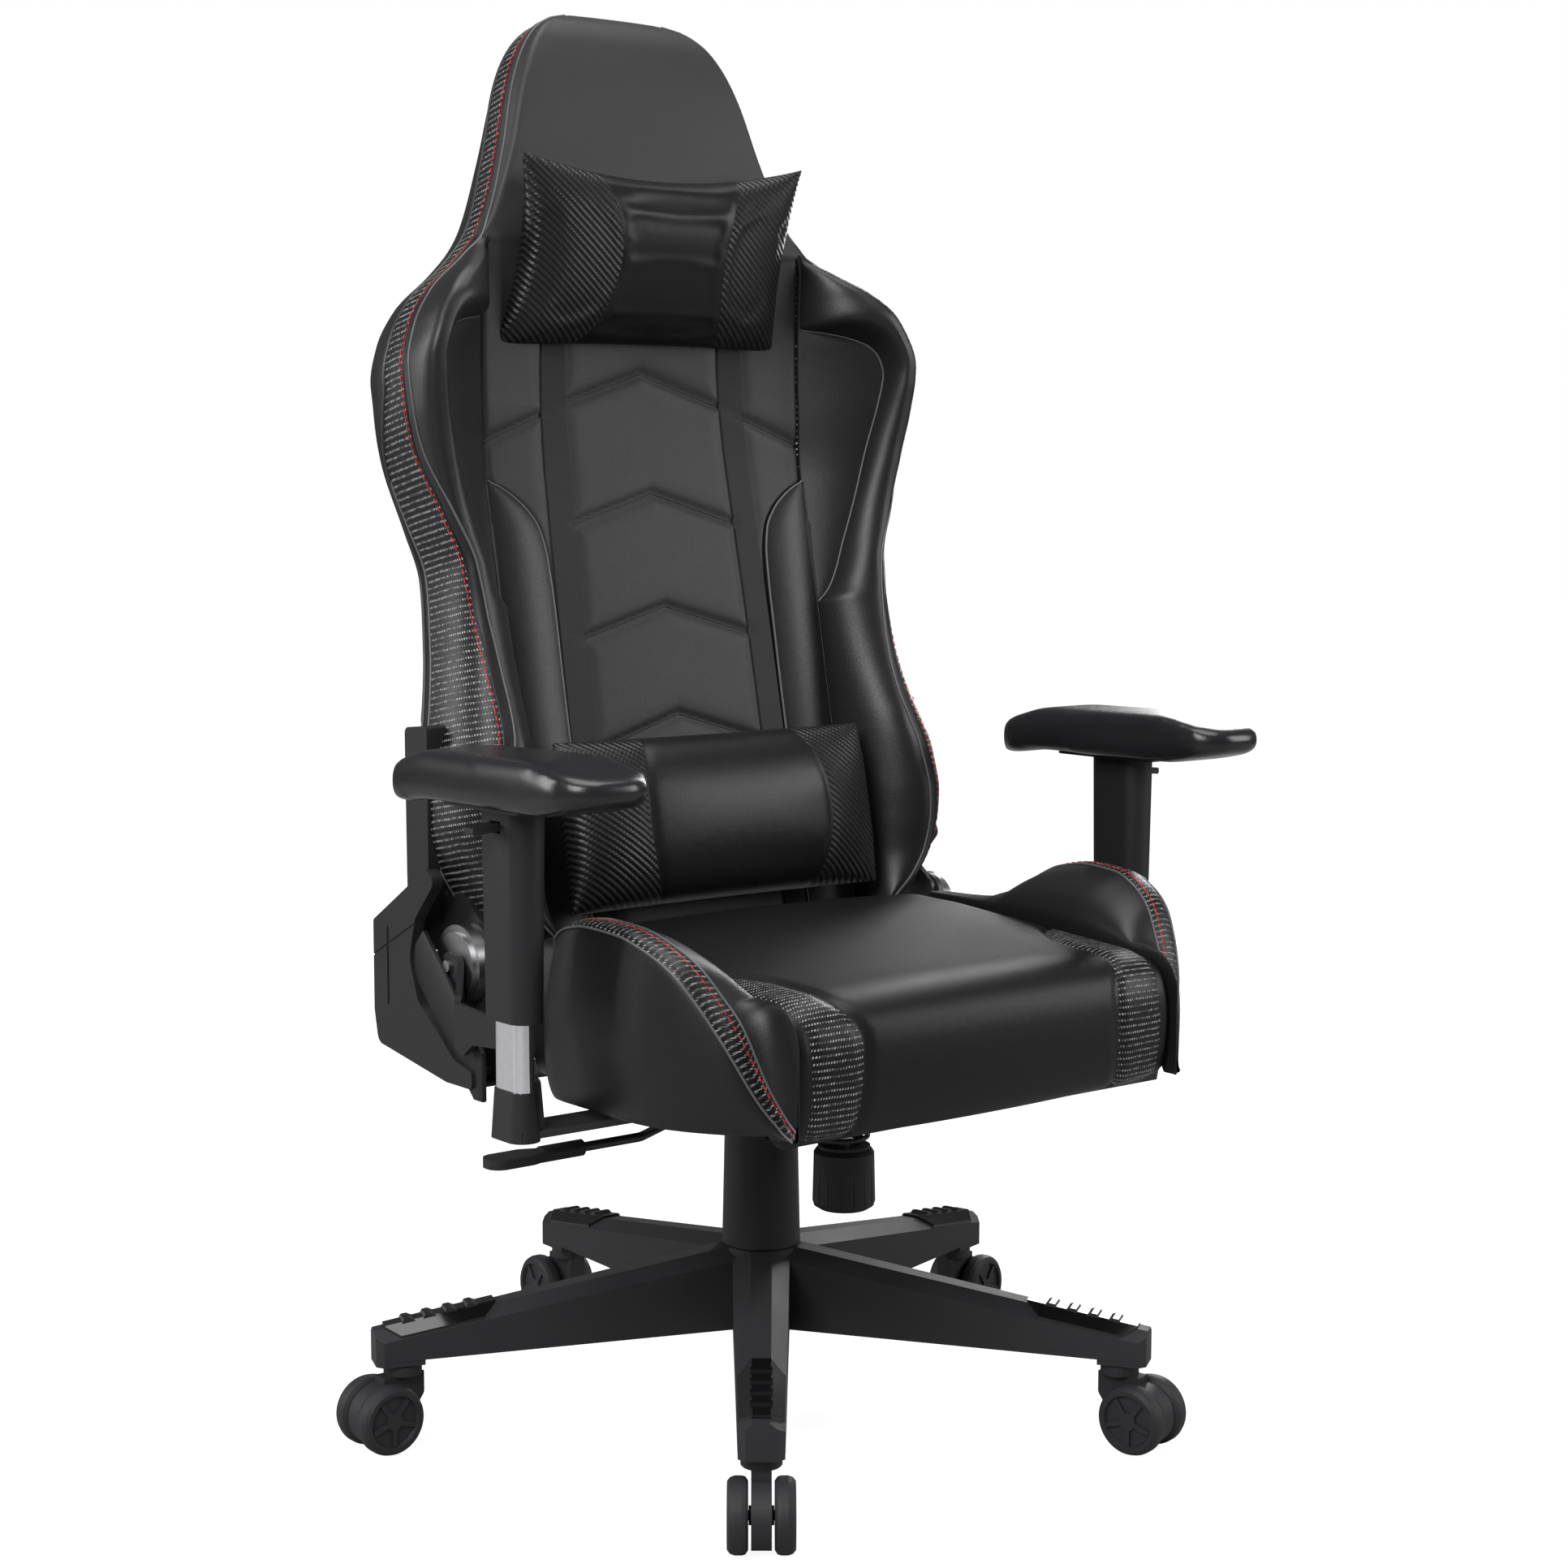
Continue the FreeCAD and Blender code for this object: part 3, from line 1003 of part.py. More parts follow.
# ---- everything --------------------------------------------------------------------------------
def all_nodes():
    nodes = {
        "star_base": star_base(), "leg_pads": leg_pads(), "lift_column": lift_column(),
        "column_bush": column_bush(), "thrust_bearing": thrust_bearing(), "piston_rod": piston_rod(),
        "gas_cylinder": gas_cylinder(), "release_pin": release_pin(), "cover_lower": cover_lower(),
        "cover_middle": cover_middle(), "cover_upper": cover_upper(), "tilt_housing": tilt_housing(),
        "tilt_pin": tilt_pin(), "seat_plate": seat_plate(), "tension_bolt": tension_bolt(),
        "tilt_spring": tilt_spring(), "tension_knob": tension_knob(), "lever_bush": lever_bush(),
        "height_lever": height_lever(), "lever_paddle": lever_paddle(), "seat_frame": seat_frame(),
        "seat_webbing": seat_webbing(), "seat_cushion": seat_cushion(),
        "arm_brackets": arm_brackets(), "arm_posts": arm_posts(), "arm_boots": arm_boots(),
        "seat_recliner_plates": seat_recliner_plates(), "back_recliner_plates": back_recliner_plates(),
        "recliner_drums": recliner_drums(), "sync_rod": sync_rod(), "recline_lever": recline_lever(),
        "back_frame": back_frame(), "back_webbing": back_webbing(), "backrest_pad": back_pad(),
        "back_rear_cover": back_rear_cover(), "pillow_straps": pillow_straps(),
        "lumbar_pillow": lumbar_pillow(), "head_pillow": head_pillow(), "side_covers": group(sides(side_cover())),
        "back_covers": group(sides(back_cover())),
    }
    pairs = {"seat_bolster": seat_bolster(), "backrest_wing": back_wing(), "arm_sleeve": arm_sleeve(),
             "arm_pad": arm_pad(), "arm_trigger": arm_trigger()}
    for name, piece in pairs.items():
        nodes[name + "_right"], nodes[name + "_left"] = sides(piece)
    frame, wheels = caster_frame(), (caster_wheel(1), caster_wheel(-1))
    for i in range(LEGS):
        nodes["caster_%d_frame" % (i + 1)] = place_caster(frame, i)
        nodes["caster_%d_wheels" % (i + 1)] = group([place_caster(w, i) for w in wheels])
    return nodes


if __name__ == "__main__":
    os.makedirs("parts", exist_ok=True)
    for name, shape in all_nodes().items():
        shape.exportStep("parts/%s.step" % name)
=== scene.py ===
"""Looks of a gaming chair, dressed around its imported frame.

Run as a script; laid out as an add-on.  Points and tables are in mm, on the back as x across,
s up along it and t forwards; the sidebar's sizes, the lamps and the camera are in metres."""

import json
import math

import bpy
import numpy as np
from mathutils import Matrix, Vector


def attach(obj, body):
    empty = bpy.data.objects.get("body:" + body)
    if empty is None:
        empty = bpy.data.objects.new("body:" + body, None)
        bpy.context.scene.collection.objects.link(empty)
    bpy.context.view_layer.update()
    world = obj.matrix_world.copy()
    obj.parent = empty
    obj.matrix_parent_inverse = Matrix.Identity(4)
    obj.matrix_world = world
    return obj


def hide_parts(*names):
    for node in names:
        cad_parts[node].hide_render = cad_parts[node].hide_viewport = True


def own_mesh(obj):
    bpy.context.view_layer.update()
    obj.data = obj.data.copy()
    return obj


bl_info = {
    "name": "Gaming chair",
    "version": (1, 0, 0),
    "blender": (4, 5, 0),
    "location": "View3D > Sidebar > Chair",
    "description": "Upholstery, trim, finishes and studio of a gaming chair",
    "category": "Object",
}

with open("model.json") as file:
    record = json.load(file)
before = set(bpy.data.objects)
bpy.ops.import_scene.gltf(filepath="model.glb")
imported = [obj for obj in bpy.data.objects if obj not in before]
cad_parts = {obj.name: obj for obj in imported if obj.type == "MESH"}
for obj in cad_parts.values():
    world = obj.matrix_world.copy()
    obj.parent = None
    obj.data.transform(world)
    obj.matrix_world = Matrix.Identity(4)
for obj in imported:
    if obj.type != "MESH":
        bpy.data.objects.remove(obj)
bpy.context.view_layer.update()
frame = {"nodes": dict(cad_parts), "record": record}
NODES = frame["nodes"]

MM = 0.001
HINGE = np.array([0.0, 75.0, 418.0])
LEAN = math.radians(11.5)
ACROSS = np.array([1.0, 0, 0])
UP_BACK = np.array([0.0, math.sin(LEAN), math.cos(LEAN)])
OUT_BACK = np.array([0.0, -math.cos(LEAN), math.sin(LEAN)])
NEAR = 2.0              # mm either way along a line, to read its direction
NO_BAND = -20.0         # band value of leather that carries no woven trim
FINE_PIPING = 0.62      # radius of the light piping, whose colour is partly painted highlight, as a share of the dark
SWELL_FRAMES = 20
SIDES = ((-1, "right"), (1, "left"))


# ---- sizes and colours --------------------------------------------------------------------------
def shade(name, description, default):
    """A colour for the sidebar."""
    return bpy.props.FloatVectorProperty(name=name, description=description, subtype="COLOR",
                                         default=default, min=0, max=1)


def measure(name, description, default, low, high):
    """A length in metres for the sidebar."""
    return bpy.props.FloatProperty(name=name, description=description, default=default,
                                   min=low, max=high, unit="LENGTH")


class ChairFinish(bpy.types.PropertyGroup):
    leather: shade("Leather", "Colour of the smooth upholstery", (0.0100, 0.0100, 0.0105))
    weave_dash: shade("Weave dash", "Light thread of the woven trim", (0.46, 0.46, 0.47))
    thread: shade("Thread", "Colour of the contrast stitching", (0.62, 0.008, 0.012))
    piping: shade("Piping", "Colour of the piping", (0.03, 0.03, 0.032))
    plastic: shade("Plastic", "Colour of the moulded plastic", (0.013, 0.013, 0.0145))


class ChairSizes(bpy.types.PropertyGroup):
    piping_r: measure("Piping radius", "Radius of the piping", 0.0016, 0.0005, 0.004)
    stitch: measure("Stitch length", "Length of one stitch", 0.0048, 0.002, 0.01)
    stitch_gap: measure("Stitch gap", "Gap between two stitches", 0.0024, 0.0005, 0.01)
    seam_depth: measure("Seam depth", "How far a seam is pulled in", 0.0040, 0, 0.01)
    weave_row: measure("Weave row", "Spacing of the woven trim's rows", 0.0056, 0.002, 0.02)
    weave_tick: measure("Weave tick", "Spacing of the threads in a row", 0.0026, 0.001, 0.01)
    grain: measure("Grain", "Size of the leather's grain", 0.0014, 0.0005, 0.005)


def sizes():
    """The scene's sizes."""
    return bpy.context.scene.chair_sizes


def finish():
    """The scene's colours."""
    return bpy.context.scene.chair_finish


# ---- curves and tables --------------------------------------------------------------------------
def smooth(table):
    """Smooth reading of (position, value) pairs that never overshoots them."""
    x, y = (np.array(c, float) for c in zip(*table))
    h, d = np.diff(x), np.diff(y) / np.diff(x)
    m = np.zeros_like(y)
    inner = d[:-1] * d[1:] > 0
    w1, w2 = 2 * h[1:] + h[:-1], h[1:] + 2 * h[:-1]
    before, after = np.where(inner, d[:-1], 1), np.where(inner, d[1:], 1)
    m[1:-1][inner] = ((w1 + w2) / (w1 / before + w2 / after))[inner]
    m[0], m[-1] = d[0], d[-1]

    def read(at):
        at = np.clip(np.asarray(at, float), x[0], x[-1])
        k = np.clip(np.searchsorted(x, at, "right") - 1, 0, len(h) - 1)
        t = (at - x[k]) / h[k]
        return ((1 + 2 * t) * (1 - t) ** 2 * y[k] + t * (1 - t) ** 2 * h[k] * m[k]
                + t * t * (3 - 2 * t) * y[k + 1] + t * t * (t - 1) * h[k] * m[k + 1])
    return read


def bezier(a, b, c, d, n):
    """n points along a cubic curve."""
    t = np.linspace(0, 1, n)[:, None]
    a, b, c, d = (np.array(p, float) for p in (a, b, c, d))
    return (1 - t) ** 3 * a + 3 * t * (1 - t) ** 2 * b + 3 * t * t * (1 - t) * c + t ** 3 * d


def line(a, b, n):
    """n points from a to b."""
    t = np.linspace(0, 1, n)[:, None]
    return np.array(a, float) * (1 - t) + np.array(b, float) * t


def join_runs(runs):
    """Joins runs of points, dropping each run's first point after the first."""
    return np.vstack([runs[0]] + [r[1:] for r in runs[1:]])


def arc_length(points):
    """Distance of each point from the first, along the line."""
    return np.concatenate([[0], np.cumsum(np.linalg.norm(np.diff(points, axis=0), axis=1))])


def point_at(at, run, points):
    """Point, or points, at a distance along a line whose points lie at the distances in run."""
    return np.stack([np.interp(at, run, points[:, k]) for k in range(points.shape[1])], axis=-1)


def point_and_normal(points, at):
    """Point at a distance along a flat line, and the direction square to the line there."""
    run = arc_length(points)
    here, ahead, behind = (point_at(d, run, points) for d in (at, at + NEAR, at - NEAR))
    along = (ahead - behind) / max(np.linalg.norm(ahead - behind), 1e-9)
    return here, np.array([along[1], -along[0]])


def resample(points, step):
    """Points evenly spaced along a line of points."""
    points = np.asarray(points, float)
    run = arc_length(points)
    return point_at(np.linspace(0, run[-1], max(2, int(round(run[-1] / step)) + 1)), run, points)


def softened(ring):
    """A closed ring of points with its corners eased."""
    for _ in range(3):
        ring = 0.5 * ring + 0.25 * (np.roll(ring, 1, 0) + np.roll(ring, -1, 0))
    return ring


def distance_to(points, path):
    """Distance of each point (N x D) to a line of points (M x D)."""
    points, path = np.asarray(points, float), np.asarray(path, float)
    best = np.full(len(points), 1e9)
    for a, b in zip(path[:-1], path[1:]):
        ab = b - a
        t = np.clip(((points - a) @ ab) / max(ab @ ab, 1e-12), 0, 1)
        best = np.minimum(best, np.linalg.norm(points - (a + t[:, None] * ab), axis=1))
    return best


def on_back(x, s, t):
    """Points in mm from their place on the back: across, up along it and forwards."""
    x, s, t = np.broadcast_arrays(x, s, t)
    return HINGE + x[..., None] * ACROSS + s[..., None] * UP_BACK + t[..., None] * OUT_BACK


# ---- making objects -----------------------------------------------------------------------------
def in_scene(name, data):
    """An object of its own around the data, in the scene's collection."""
    obj = bpy.data.objects.new(name, data)
    bpy.context.scene.collection.objects.link(obj)
    return obj


def new_object(name, vertices, faces):
    """A mesh object from points in mm."""
    mesh = bpy.data.meshes.new(name)
    mesh.from_pydata((np.asarray(vertices) * MM).tolist(), [], faces)
    mesh.update()
    return in_scene(name, mesh)


def select_only(*objects):
    bpy.ops.object.select_all(action="DESELECT")
    for o in objects:
        o.hide_set(False)
        o.select_set(True)
    bpy.context.view_layer.objects.active = objects[0]


def joined(name, parts):
    """One object made of several."""
    select_only(*parts)
    bpy.ops.object.join()
    parts[0].name = name
    return parts[0]


def outward(obj, merge=True):
    """Merges doubles and turns the faces outwards."""
    select_only(obj)
    bpy.ops.object.mode_set(mode="EDIT")
    bpy.ops.mesh.select_all(action="SELECT")
    if merge:
        bpy.ops.mesh.remove_doubles(threshold=1e-6)
    bpy.ops.mesh.normals_make_consistent(inside=False)
    bpy.ops.object.mode_set(mode="OBJECT")


def applied(obj, kind, **settings):
    """Adds a modifier and makes its result permanent."""
    select_only(obj)
    mod = obj.modifiers.new(kind.title(), kind)
    for key, value in settings.items():
        setattr(mod, key, value)
    bpy.ops.object.modifier_apply(modifier=mod.name)


def rounded(obj, angle):
    """Smooth shading across every edge flatter than the angle in degrees."""
    select_only(obj)
    bpy.ops.object.shade_smooth_by_angle(angle=math.radians(angle))


def attribute(obj, name, values):
    """Writes one number for each of the object's points."""
    a = obj.data.attributes.get(name) or obj.data.attributes.new(name, "FLOAT", "POINT")
    a.data.foreach_set("value", np.asarray(values, np.float32))


def write_band(obj, bands):
    """Gives a loft's points the band values of its rings, and its end caps none."""
    flat = np.concatenate(bands)
    caps = np.full(len(obj.data.vertices) - len(flat), NO_BAND)
    attribute(obj, "band", np.concatenate([flat, caps]))


def along_and_round(along, run):
    """UV of a ring in metres, from its place along the piece and the way round it, both in mm."""
    return np.column_stack([np.full(len(run), along * MM), run * MM])


def read_attribute(obj, name):
    values = np.zeros(len(obj.data.vertices), np.float32)
    obj.data.attributes[name].data.foreach_get("value", values)
    return values


def read_points(obj, what):
    """One row of three for each of the object's points: "co" or "normal"."""
    values = np.zeros(len(obj.data.vertices) * 3)
    obj.data.vertices.foreach_get(what, values)
    return values.reshape(-1, 3)


def coords(obj):
    """Positions of the object's points in mm."""
    return read_points(obj, "co") / MM


def set_coords(obj, points):
    obj.data.vertices.foreach_set("co", (np.asarray(points) * MM).ravel())
    obj.data.update()


def loft(name, rings, uv=None):
    """A closed skin over closed rings of points, with domed ends.

    uv gives the place of each point along and across the piece, in metres."""
    rings = np.asarray(rings, float)
    n, m = rings.shape[:2]
    points = rings.reshape(-1, 3)
    faces = []
    for i in range(n - 1):
        for j in range(m):
            k = (j + 1) % m
            faces.append((i * m + j, i * m + k, (i + 1) * m + k, (i + 1) * m + j))
    extra = []
    base = n * m
    for end, ring in ((0, rings[0]), (n - 1, rings[-1])):
        centre = ring.mean(axis=0)
        last = [end * m + j for j in range(m)]
        for share in (0.82, 0.55, 0.25):
            now = [base + len(extra) + j for j in range(m)]
            extra.extend(centre + (ring - centre) * share)
            for j in range(m):
                k = (j + 1) % m
                f = (last[j], last[k], now[k], now[j])
                faces.append(f if end else f[::-1])
            last = now
        faces.append(tuple(last) if end else tuple(last[::-1]))
    obj = new_object(name, np.vstack([points, np.array(extra)]), faces)
    if uv is not None:
        flat = np.asarray(uv, float).reshape(-1, 2)
        pad = np.zeros((len(extra), 2))
        pad[: len(extra) // 2] = np.tile(flat[:m], (3, 1))
        pad[len(extra) // 2:] = np.tile(flat[(n - 1) * m:n * m], (3, 1))
        write_uv(obj, np.vstack([flat, pad]))
    return obj


def write_uv(obj, per_point):
    layer = obj.data.uv_layers.new(name="UVMap")
    index = np.zeros(len(obj.data.loops), int)
    obj.data.loops.foreach_get("vertex_index", index)
    layer.data.foreach_set("uv", per_point[index].astype(np.float32).ravel())


def swell(obj, cap, pinned):
    """Cloth under pressure, each point held to `cap` mm of where it was, then made permanent."""
    start = coords(obj)
    mod = obj.modifiers.new("Cloth", "CLOTH")
    cloth = mod.settings
    cloth.quality = 4
    cloth.use_pressure = True
    cloth.uniform_pressure_force = 4.0
    cloth.tension_stiffness = cloth.compression_stiffness = 15.0
    cloth.effector_weights.gravity = 0
    mod.collision_settings.use_collision = False
    group = obj.vertex_groups.new(name="seams")
    group.add([int(i) for i in np.nonzero(pinned)[0]], 1.0, "REPLACE")
    cloth.vertex_group_mass = "seams"
    scene = bpy.context.scene
    for f in range(1, SWELL_FRAMES + 1):
        scene.frame_set(f)
    end = coords(obj.evaluated_get(bpy.context.evaluated_depsgraph_get()))
    obj.modifiers.remove(mod)
    scene.frame_set(1)
    move = np.nan_to_num(end - start)
    far = np.linalg.norm(move, axis=1, keepdims=True)
    set_coords(obj, start + move * np.minimum(1, cap / np.maximum(far, 1e-9)))


def remeshed_copy(name, node, voxel, smoothing, grow):
    """A copy of a solid, remeshed, its corners softened and its skin moved out by `grow` mm."""
    obj = in_scene(name, NODES[node].data.copy())
    obj.data.materials.clear()
    outward(obj)
    applied(obj, "REMESH", mode="VOXEL", voxel_size=voxel * MM)
    applied(obj, "SMOOTH", factor=0.5, iterations=smoothing)
    set_coords(obj, coords(obj) + read_points(obj, "normal") * grow)
    return obj


def tube_along(name, paths, radius):
    """Round cord along lines of points in mm, made a mesh."""
    data = bpy.data.curves.new(name, "CURVE")
    data.dimensions = "3D"
    data.bevel_depth = radius
    data.bevel_resolution = 3
    data.use_fill_caps = True
    for path in paths:
        spline = data.splines.new("POLY")
        spline.points.add(len(path) - 1)
        places = np.column_stack([np.asarray(path) * MM, np.ones(len(path))])
        spline.points.foreach_set("co", places.ravel())
    obj = in_scene(name, data)
    select_only(obj)
    bpy.ops.object.convert(target="MESH")
    rounded(obj, 60)
    return obj


def stitches(name, paths, ups):
    """Short rounded threads laid end to end along lines of points, standing up along ups."""
    template = np.array([(-0.5, -0.5, 0), (-0.5, 0.5, 0), (-0.32, -0.4, 1), (-0.32, 0.4, 1),
                         (0.32, -0.4, 1), (0.32, 0.4, 1), (0.5, -0.5, 0), (0.5, 0.5, 0)])
    quads = [(0, 2, 3, 1), (2, 4, 5, 3), (4, 6, 7, 5), (0, 1, 7, 6), (0, 6, 4, 2), (1, 3, 5, 7)]
    width, height, sunk = 1.1, 0.55, 0.15
    points, faces = [], []
    length, gap = sizes().stitch / MM, sizes().stitch_gap / MM
    for path, up in zip(paths, ups):
        run = arc_length(path)
        for at in np.arange(length / 2, run[-1] - length / 2, length + gap):
            centre, head, tail = (point_at(d, run, path) for d in (at, at + 1.5, at - 1.5))
            n = point_at(at, run, up)
            along = (head - tail) / max(np.linalg.norm(head - tail), 1e-9)
            n = n - along * (n @ along)
            n /= max(np.linalg.norm(n), 1e-9)
            side = np.cross(n, along)
            base = len(points)
            points.extend(centre + along * p[0] * length + side * p[1] * width
                          + n * (p[2] * height - sunk) for p in template)
            faces.extend(tuple(base + i for i in q) for q in quads)
    obj = new_object(name, np.array(points), faces)
    outward(obj, merge=False)
    return obj


# ---- finishes -----------------------------------------------------------------------------------
class Nodes:
    """Shorthand for building the nodes of a tree."""

    def __init__(self, tree):
        self.tree = tree

    def add(self, kind, inputs=(), **settings):
        node = self.tree.nodes.new(kind)
        for k, v in settings.items():
            setattr(node, k, v)
        for k, v in dict(inputs).items():
            self.put(node.inputs[k], v)
        return node

    def put(self, socket, value):
        if isinstance(value, bpy.types.NodeSocket):
            self.tree.links.new(value, socket)
        else:
            socket.default_value = value

    def fed(self, kind, *values, **settings):
        """The first output of a new node, with the values put into its sockets in turn."""
        node = self.add(kind, **settings)
        for socket, value in zip(node.inputs, values):
            self.put(socket, value)
        return node.outputs[0]

    def math(self, operation, *values, clamp=False):
        return self.fed("ShaderNodeMath", *values, operation=operation, use_clamp=clamp)

    def times(self, a, b, clamp=False):
        return self.math("MULTIPLY", a, b, clamp=clamp)

    def plus(self, a, b, clamp=False):
        return self.math("ADD", a, b, clamp=clamp)

    def minus(self, a, b):
        return self.math("SUBTRACT", a, b)

    def sine(self, angle):
        return self.math("SINE", angle)

    def zigzag(self, value, width):
        return self.math("PINGPONG", value, width)

    def blended(self, kind, first, result, factor, a, b):
        node = self.add("ShaderNodeMix", data_type=kind)
        for k, value in ((0, factor), (first, a), (first + 1, b)):
            self.put(node.inputs[k], value)
        return node.outputs[result]

    def mix(self, factor, a, b):
        return self.blended("RGBA", 6, 2, factor, a, b)

    def mix_value(self, factor, a, b):
        return self.blended("FLOAT", 2, 0, factor, a, b)

    def coordinates(self, output="Object"):
        return self.add("ShaderNodeTexCoord").outputs[output]

    def noise(self, scale, detail=3.0, roughness=0.5, vector=None):
        inputs = {"Vector": vector or self.coordinates(), "Scale": scale, "Detail": detail,
                  "Roughness": roughness}
        return self.add("ShaderNodeTexNoise", inputs).outputs[0]

    def attribute(self, name):
        return self.add("ShaderNodeAttribute", attribute_name=name).outputs["Fac"]

    def bump(self, height, distance, strength=1.0, normal=None):
        inputs = {"Height": height, "Distance": distance, "Strength": strength}
        if normal is not None:
            inputs["Normal"] = normal
        return self.add("ShaderNodeBump", inputs).outputs[0]


class Finish(Nodes):
    """The nodes of a new material, around its main shader."""

    def __init__(self, name):
        old = bpy.data.materials.get(name)
        if old:
            bpy.data.materials.remove(old)
        self.material = bpy.data.materials.new(name)
        self.material.use_nodes = True
        super().__init__(self.material.node_tree)
        self.shader = self.tree.nodes["Principled BSDF"]

    def set(self, **values):
        names = {"color": "Base Color", "roughness": "Roughness", "metallic": "Metallic",
                 "normal": "Normal", "specular": "Specular IOR Level", "sheen": "Sheen Weight"}
        for k, v in values.items():
            self.put(self.shader.inputs[names[k]], v)


def rgba(colour, gain=1.0):
    return tuple(c * gain for c in colour) + (1.0,)


def leather(name, gain=1.0, rough=0.40, zone=None, weave="ticks", specular=0.38):
    """Smooth coated leather; where the attribute `zone` is above 0 it becomes woven trim, and with
    weave "ribs" ribbed leather whose colour carries painted shade in the hollows and painted
    highlight on the crests.
    """
    m = Finish(name)
    base = finish().leather
    cells = m.add("ShaderNodeTexVoronoi", {"Vector": m.coordinates(), "Scale": 0.8 / sizes().grain},
                  feature="DISTANCE_TO_EDGE").outputs["Distance"]
    creases = m.times(m.math("MINIMUM", cells, 0.12), 6.0)
    broad = m.noise(9.0, 3.0)
    fine = m.noise(420.0, 4.0, 0.6)
    height = m.plus(m.times(creases, 0.6), m.times(fine, 0.5))
    tone = m.mix(m.times(broad, 0.9, clamp=True), rgba(base, 0.80 * gain), rgba(base, 1.30 * gain))
    roughness = m.plus(rough - 0.06, m.times(fine, 0.12))
    normal = m.bump(height, 0.00022, 0.35)
    if zone:
        split = m.add("ShaderNodeSeparateXYZ", {"Vector": m.coordinates(output="UV")})
        along, across = split.outputs[0], split.outputs[1]
        edge = m.times(m.attribute(zone), 2.0, clamp=True)
        if weave == "ticks":
            wander = m.times(m.noise(60.0, 2.0), 0.0016)
            row = m.zigzag(m.plus(along, wander), sizes().weave_row / 2)
            row = m.times(m.minus(sizes().weave_row * 0.20, row), 2200.0, clamp=True)
            slant = m.plus(across, m.times(along, 0.35))
            tick = m.zigzag(slant, sizes().weave_tick / 2)
            tick = m.times(m.minus(sizes().weave_tick * 0.30, tick), 3200.0, clamp=True)
            patchy = m.times(m.minus(m.noise(260.0, 2.0), 0.42), 6.0, clamp=True)
            relief = m.times(row, tick)
            thread = m.times(relief, m.plus(m.times(patchy, 0.8), 0.2))
            dash = m.mix(thread, rgba(base, 0.45), rgba(finish().weave_dash))
            depth, dull = 0.0006, 0.40
        else:
            slant = m.plus(m.times(along, 0.64), m.times(across, 0.77))
            wave = m.sine(m.times(slant, 2 * math.pi / 0.0048))
            cross = m.sine(m.times(m.minus(along, across), 2 * math.pi / 0.0045))
            relief = m.plus(m.times(wave, 0.42), 0.5)
            relief = m.plus(relief, m.times(cross, 0.08), clamp=True)
            # ribs: dash holds no thread here but painted shade in the rib hollows and painted
            # highlight on the rib crests
            dash = m.mix(relief, rgba(base, 0.25), rgba(base, 2.4))
            depth, dull = 0.0010, 0.34
        tone = m.mix(edge, tone, dash)
        roughness = m.mix_value(edge, roughness, dull)
        normal = m.bump(m.times(relief, edge), depth, 0.8, normal)
    m.set(color=tone, roughness=roughness, normal=normal, specular=specular)
    return m.material


def plastic(name, gain=1.0, rough=0.45, grain=0.00012, scale=1500.0, specular=0.4):
    """Moulded plastic with a fine spark-eroded texture."""
    m = Finish(name)
    base = finish().plastic
    fine = m.noise(scale, 2.0, 0.6)
    broad = m.noise(14.0, 3.0)
    tone = m.mix(broad, rgba(base, 0.82 * gain), rgba(base, 1.22 * gain))
    m.set(color=tone, roughness=m.plus(rough - 0.05, m.times(broad, 0.10)),
          normal=m.bump(fine, grain, 0.5), specular=specular)
    return m.material


def metal(name, colour, rough, stretch=None, metallic=1.0):
    """Polished, brushed or coated metal."""
    m = Finish(name)
    if stretch:
        vector = m.add("ShaderNodeMapping", {"Vector": m.coordinates(), "Scale": stretch})
        lines = m.noise(60.0, 4.0, 0.6, vector.outputs[0])
    else:
        lines = m.noise(180.0, 3.0, 0.5)
    tone = m.mix(lines, rgba(colour, 0.88), rgba(colour, 1.08))
    m.set(color=tone, metallic=metallic, roughness=m.plus(rough - 0.03, m.times(lines, 0.07)),
          normal=m.bump(lines, 0.00004, 0.4))
    return m.material


def webbing(name, gain=1.0, thread=0.0011):
    """Woven strap, its colour following the weave's relief: painted shade in the hollows and
    painted highlight on the crests, broken up by random fuzz.
    """
    m = Finish(name)
    base = finish().leather
    split = m.add("ShaderNodeSeparateXYZ", {"Vector": m.coordinates()})
    across = m.sine(m.times(split.outputs[0], 2 * math.pi / thread))
    along = m.sine(m.times(split.outputs[2], 2 * math.pi / (thread * 1.6)))
    weave = m.plus(m.times(m.times(across, along), 0.5), 0.5)
    fuzz = m.noise(260.0, 3.0)
    # painted shade and highlight: darker in the weave's hollows, lighter on its crests
    tone = m.mix(m.times(weave, fuzz, clamp=True), rgba(base, 0.35 * gain), rgba(base, 1.1 * gain))
    m.set(color=tone, roughness=0.85, normal=m.bump(weave, 0.0003, 0.7), sheen=0.25)
    return m.material


def cord_finish(name, gain):
    """Piping and seam cord; a high gain lightens the light piping into a painted highlight, a very
    low one darkens the seam cords into painted shade.
    """
    m = Finish(name)
    base = finish().piping
    tone = m.mix(m.noise(500.0), rgba(base, 0.8 * gain), rgba(base, 1.2 * gain))
    m.set(color=tone, roughness=0.38)
    return m.material


def plain_thread(name, colour, rough=0.55):
    """Twisted sewing thread."""
    m = Finish(name)
    twist = m.noise(900.0, 2.0)
    m.set(color=m.mix(twist, rgba(colour, 0.7), rgba(colour, 1.2)), roughness=rough,
          normal=m.bump(twist, 0.0001, 0.4))
    return m.material


def dress(obj, material):
    """Makes the material the object's only one."""
    obj.data.materials.clear()
    obj.data.materials.append(material)


def dressed_loft(name, rings, uvs, bands, angle, material):
    """A lofted piece with its band values, if it has any, its shading and its material."""
    obj = loft(name, rings, uvs)
    if bands:
        write_band(obj, bands)
    outward(obj)
    rounded(obj, angle)
    dress(obj, material)
    return obj


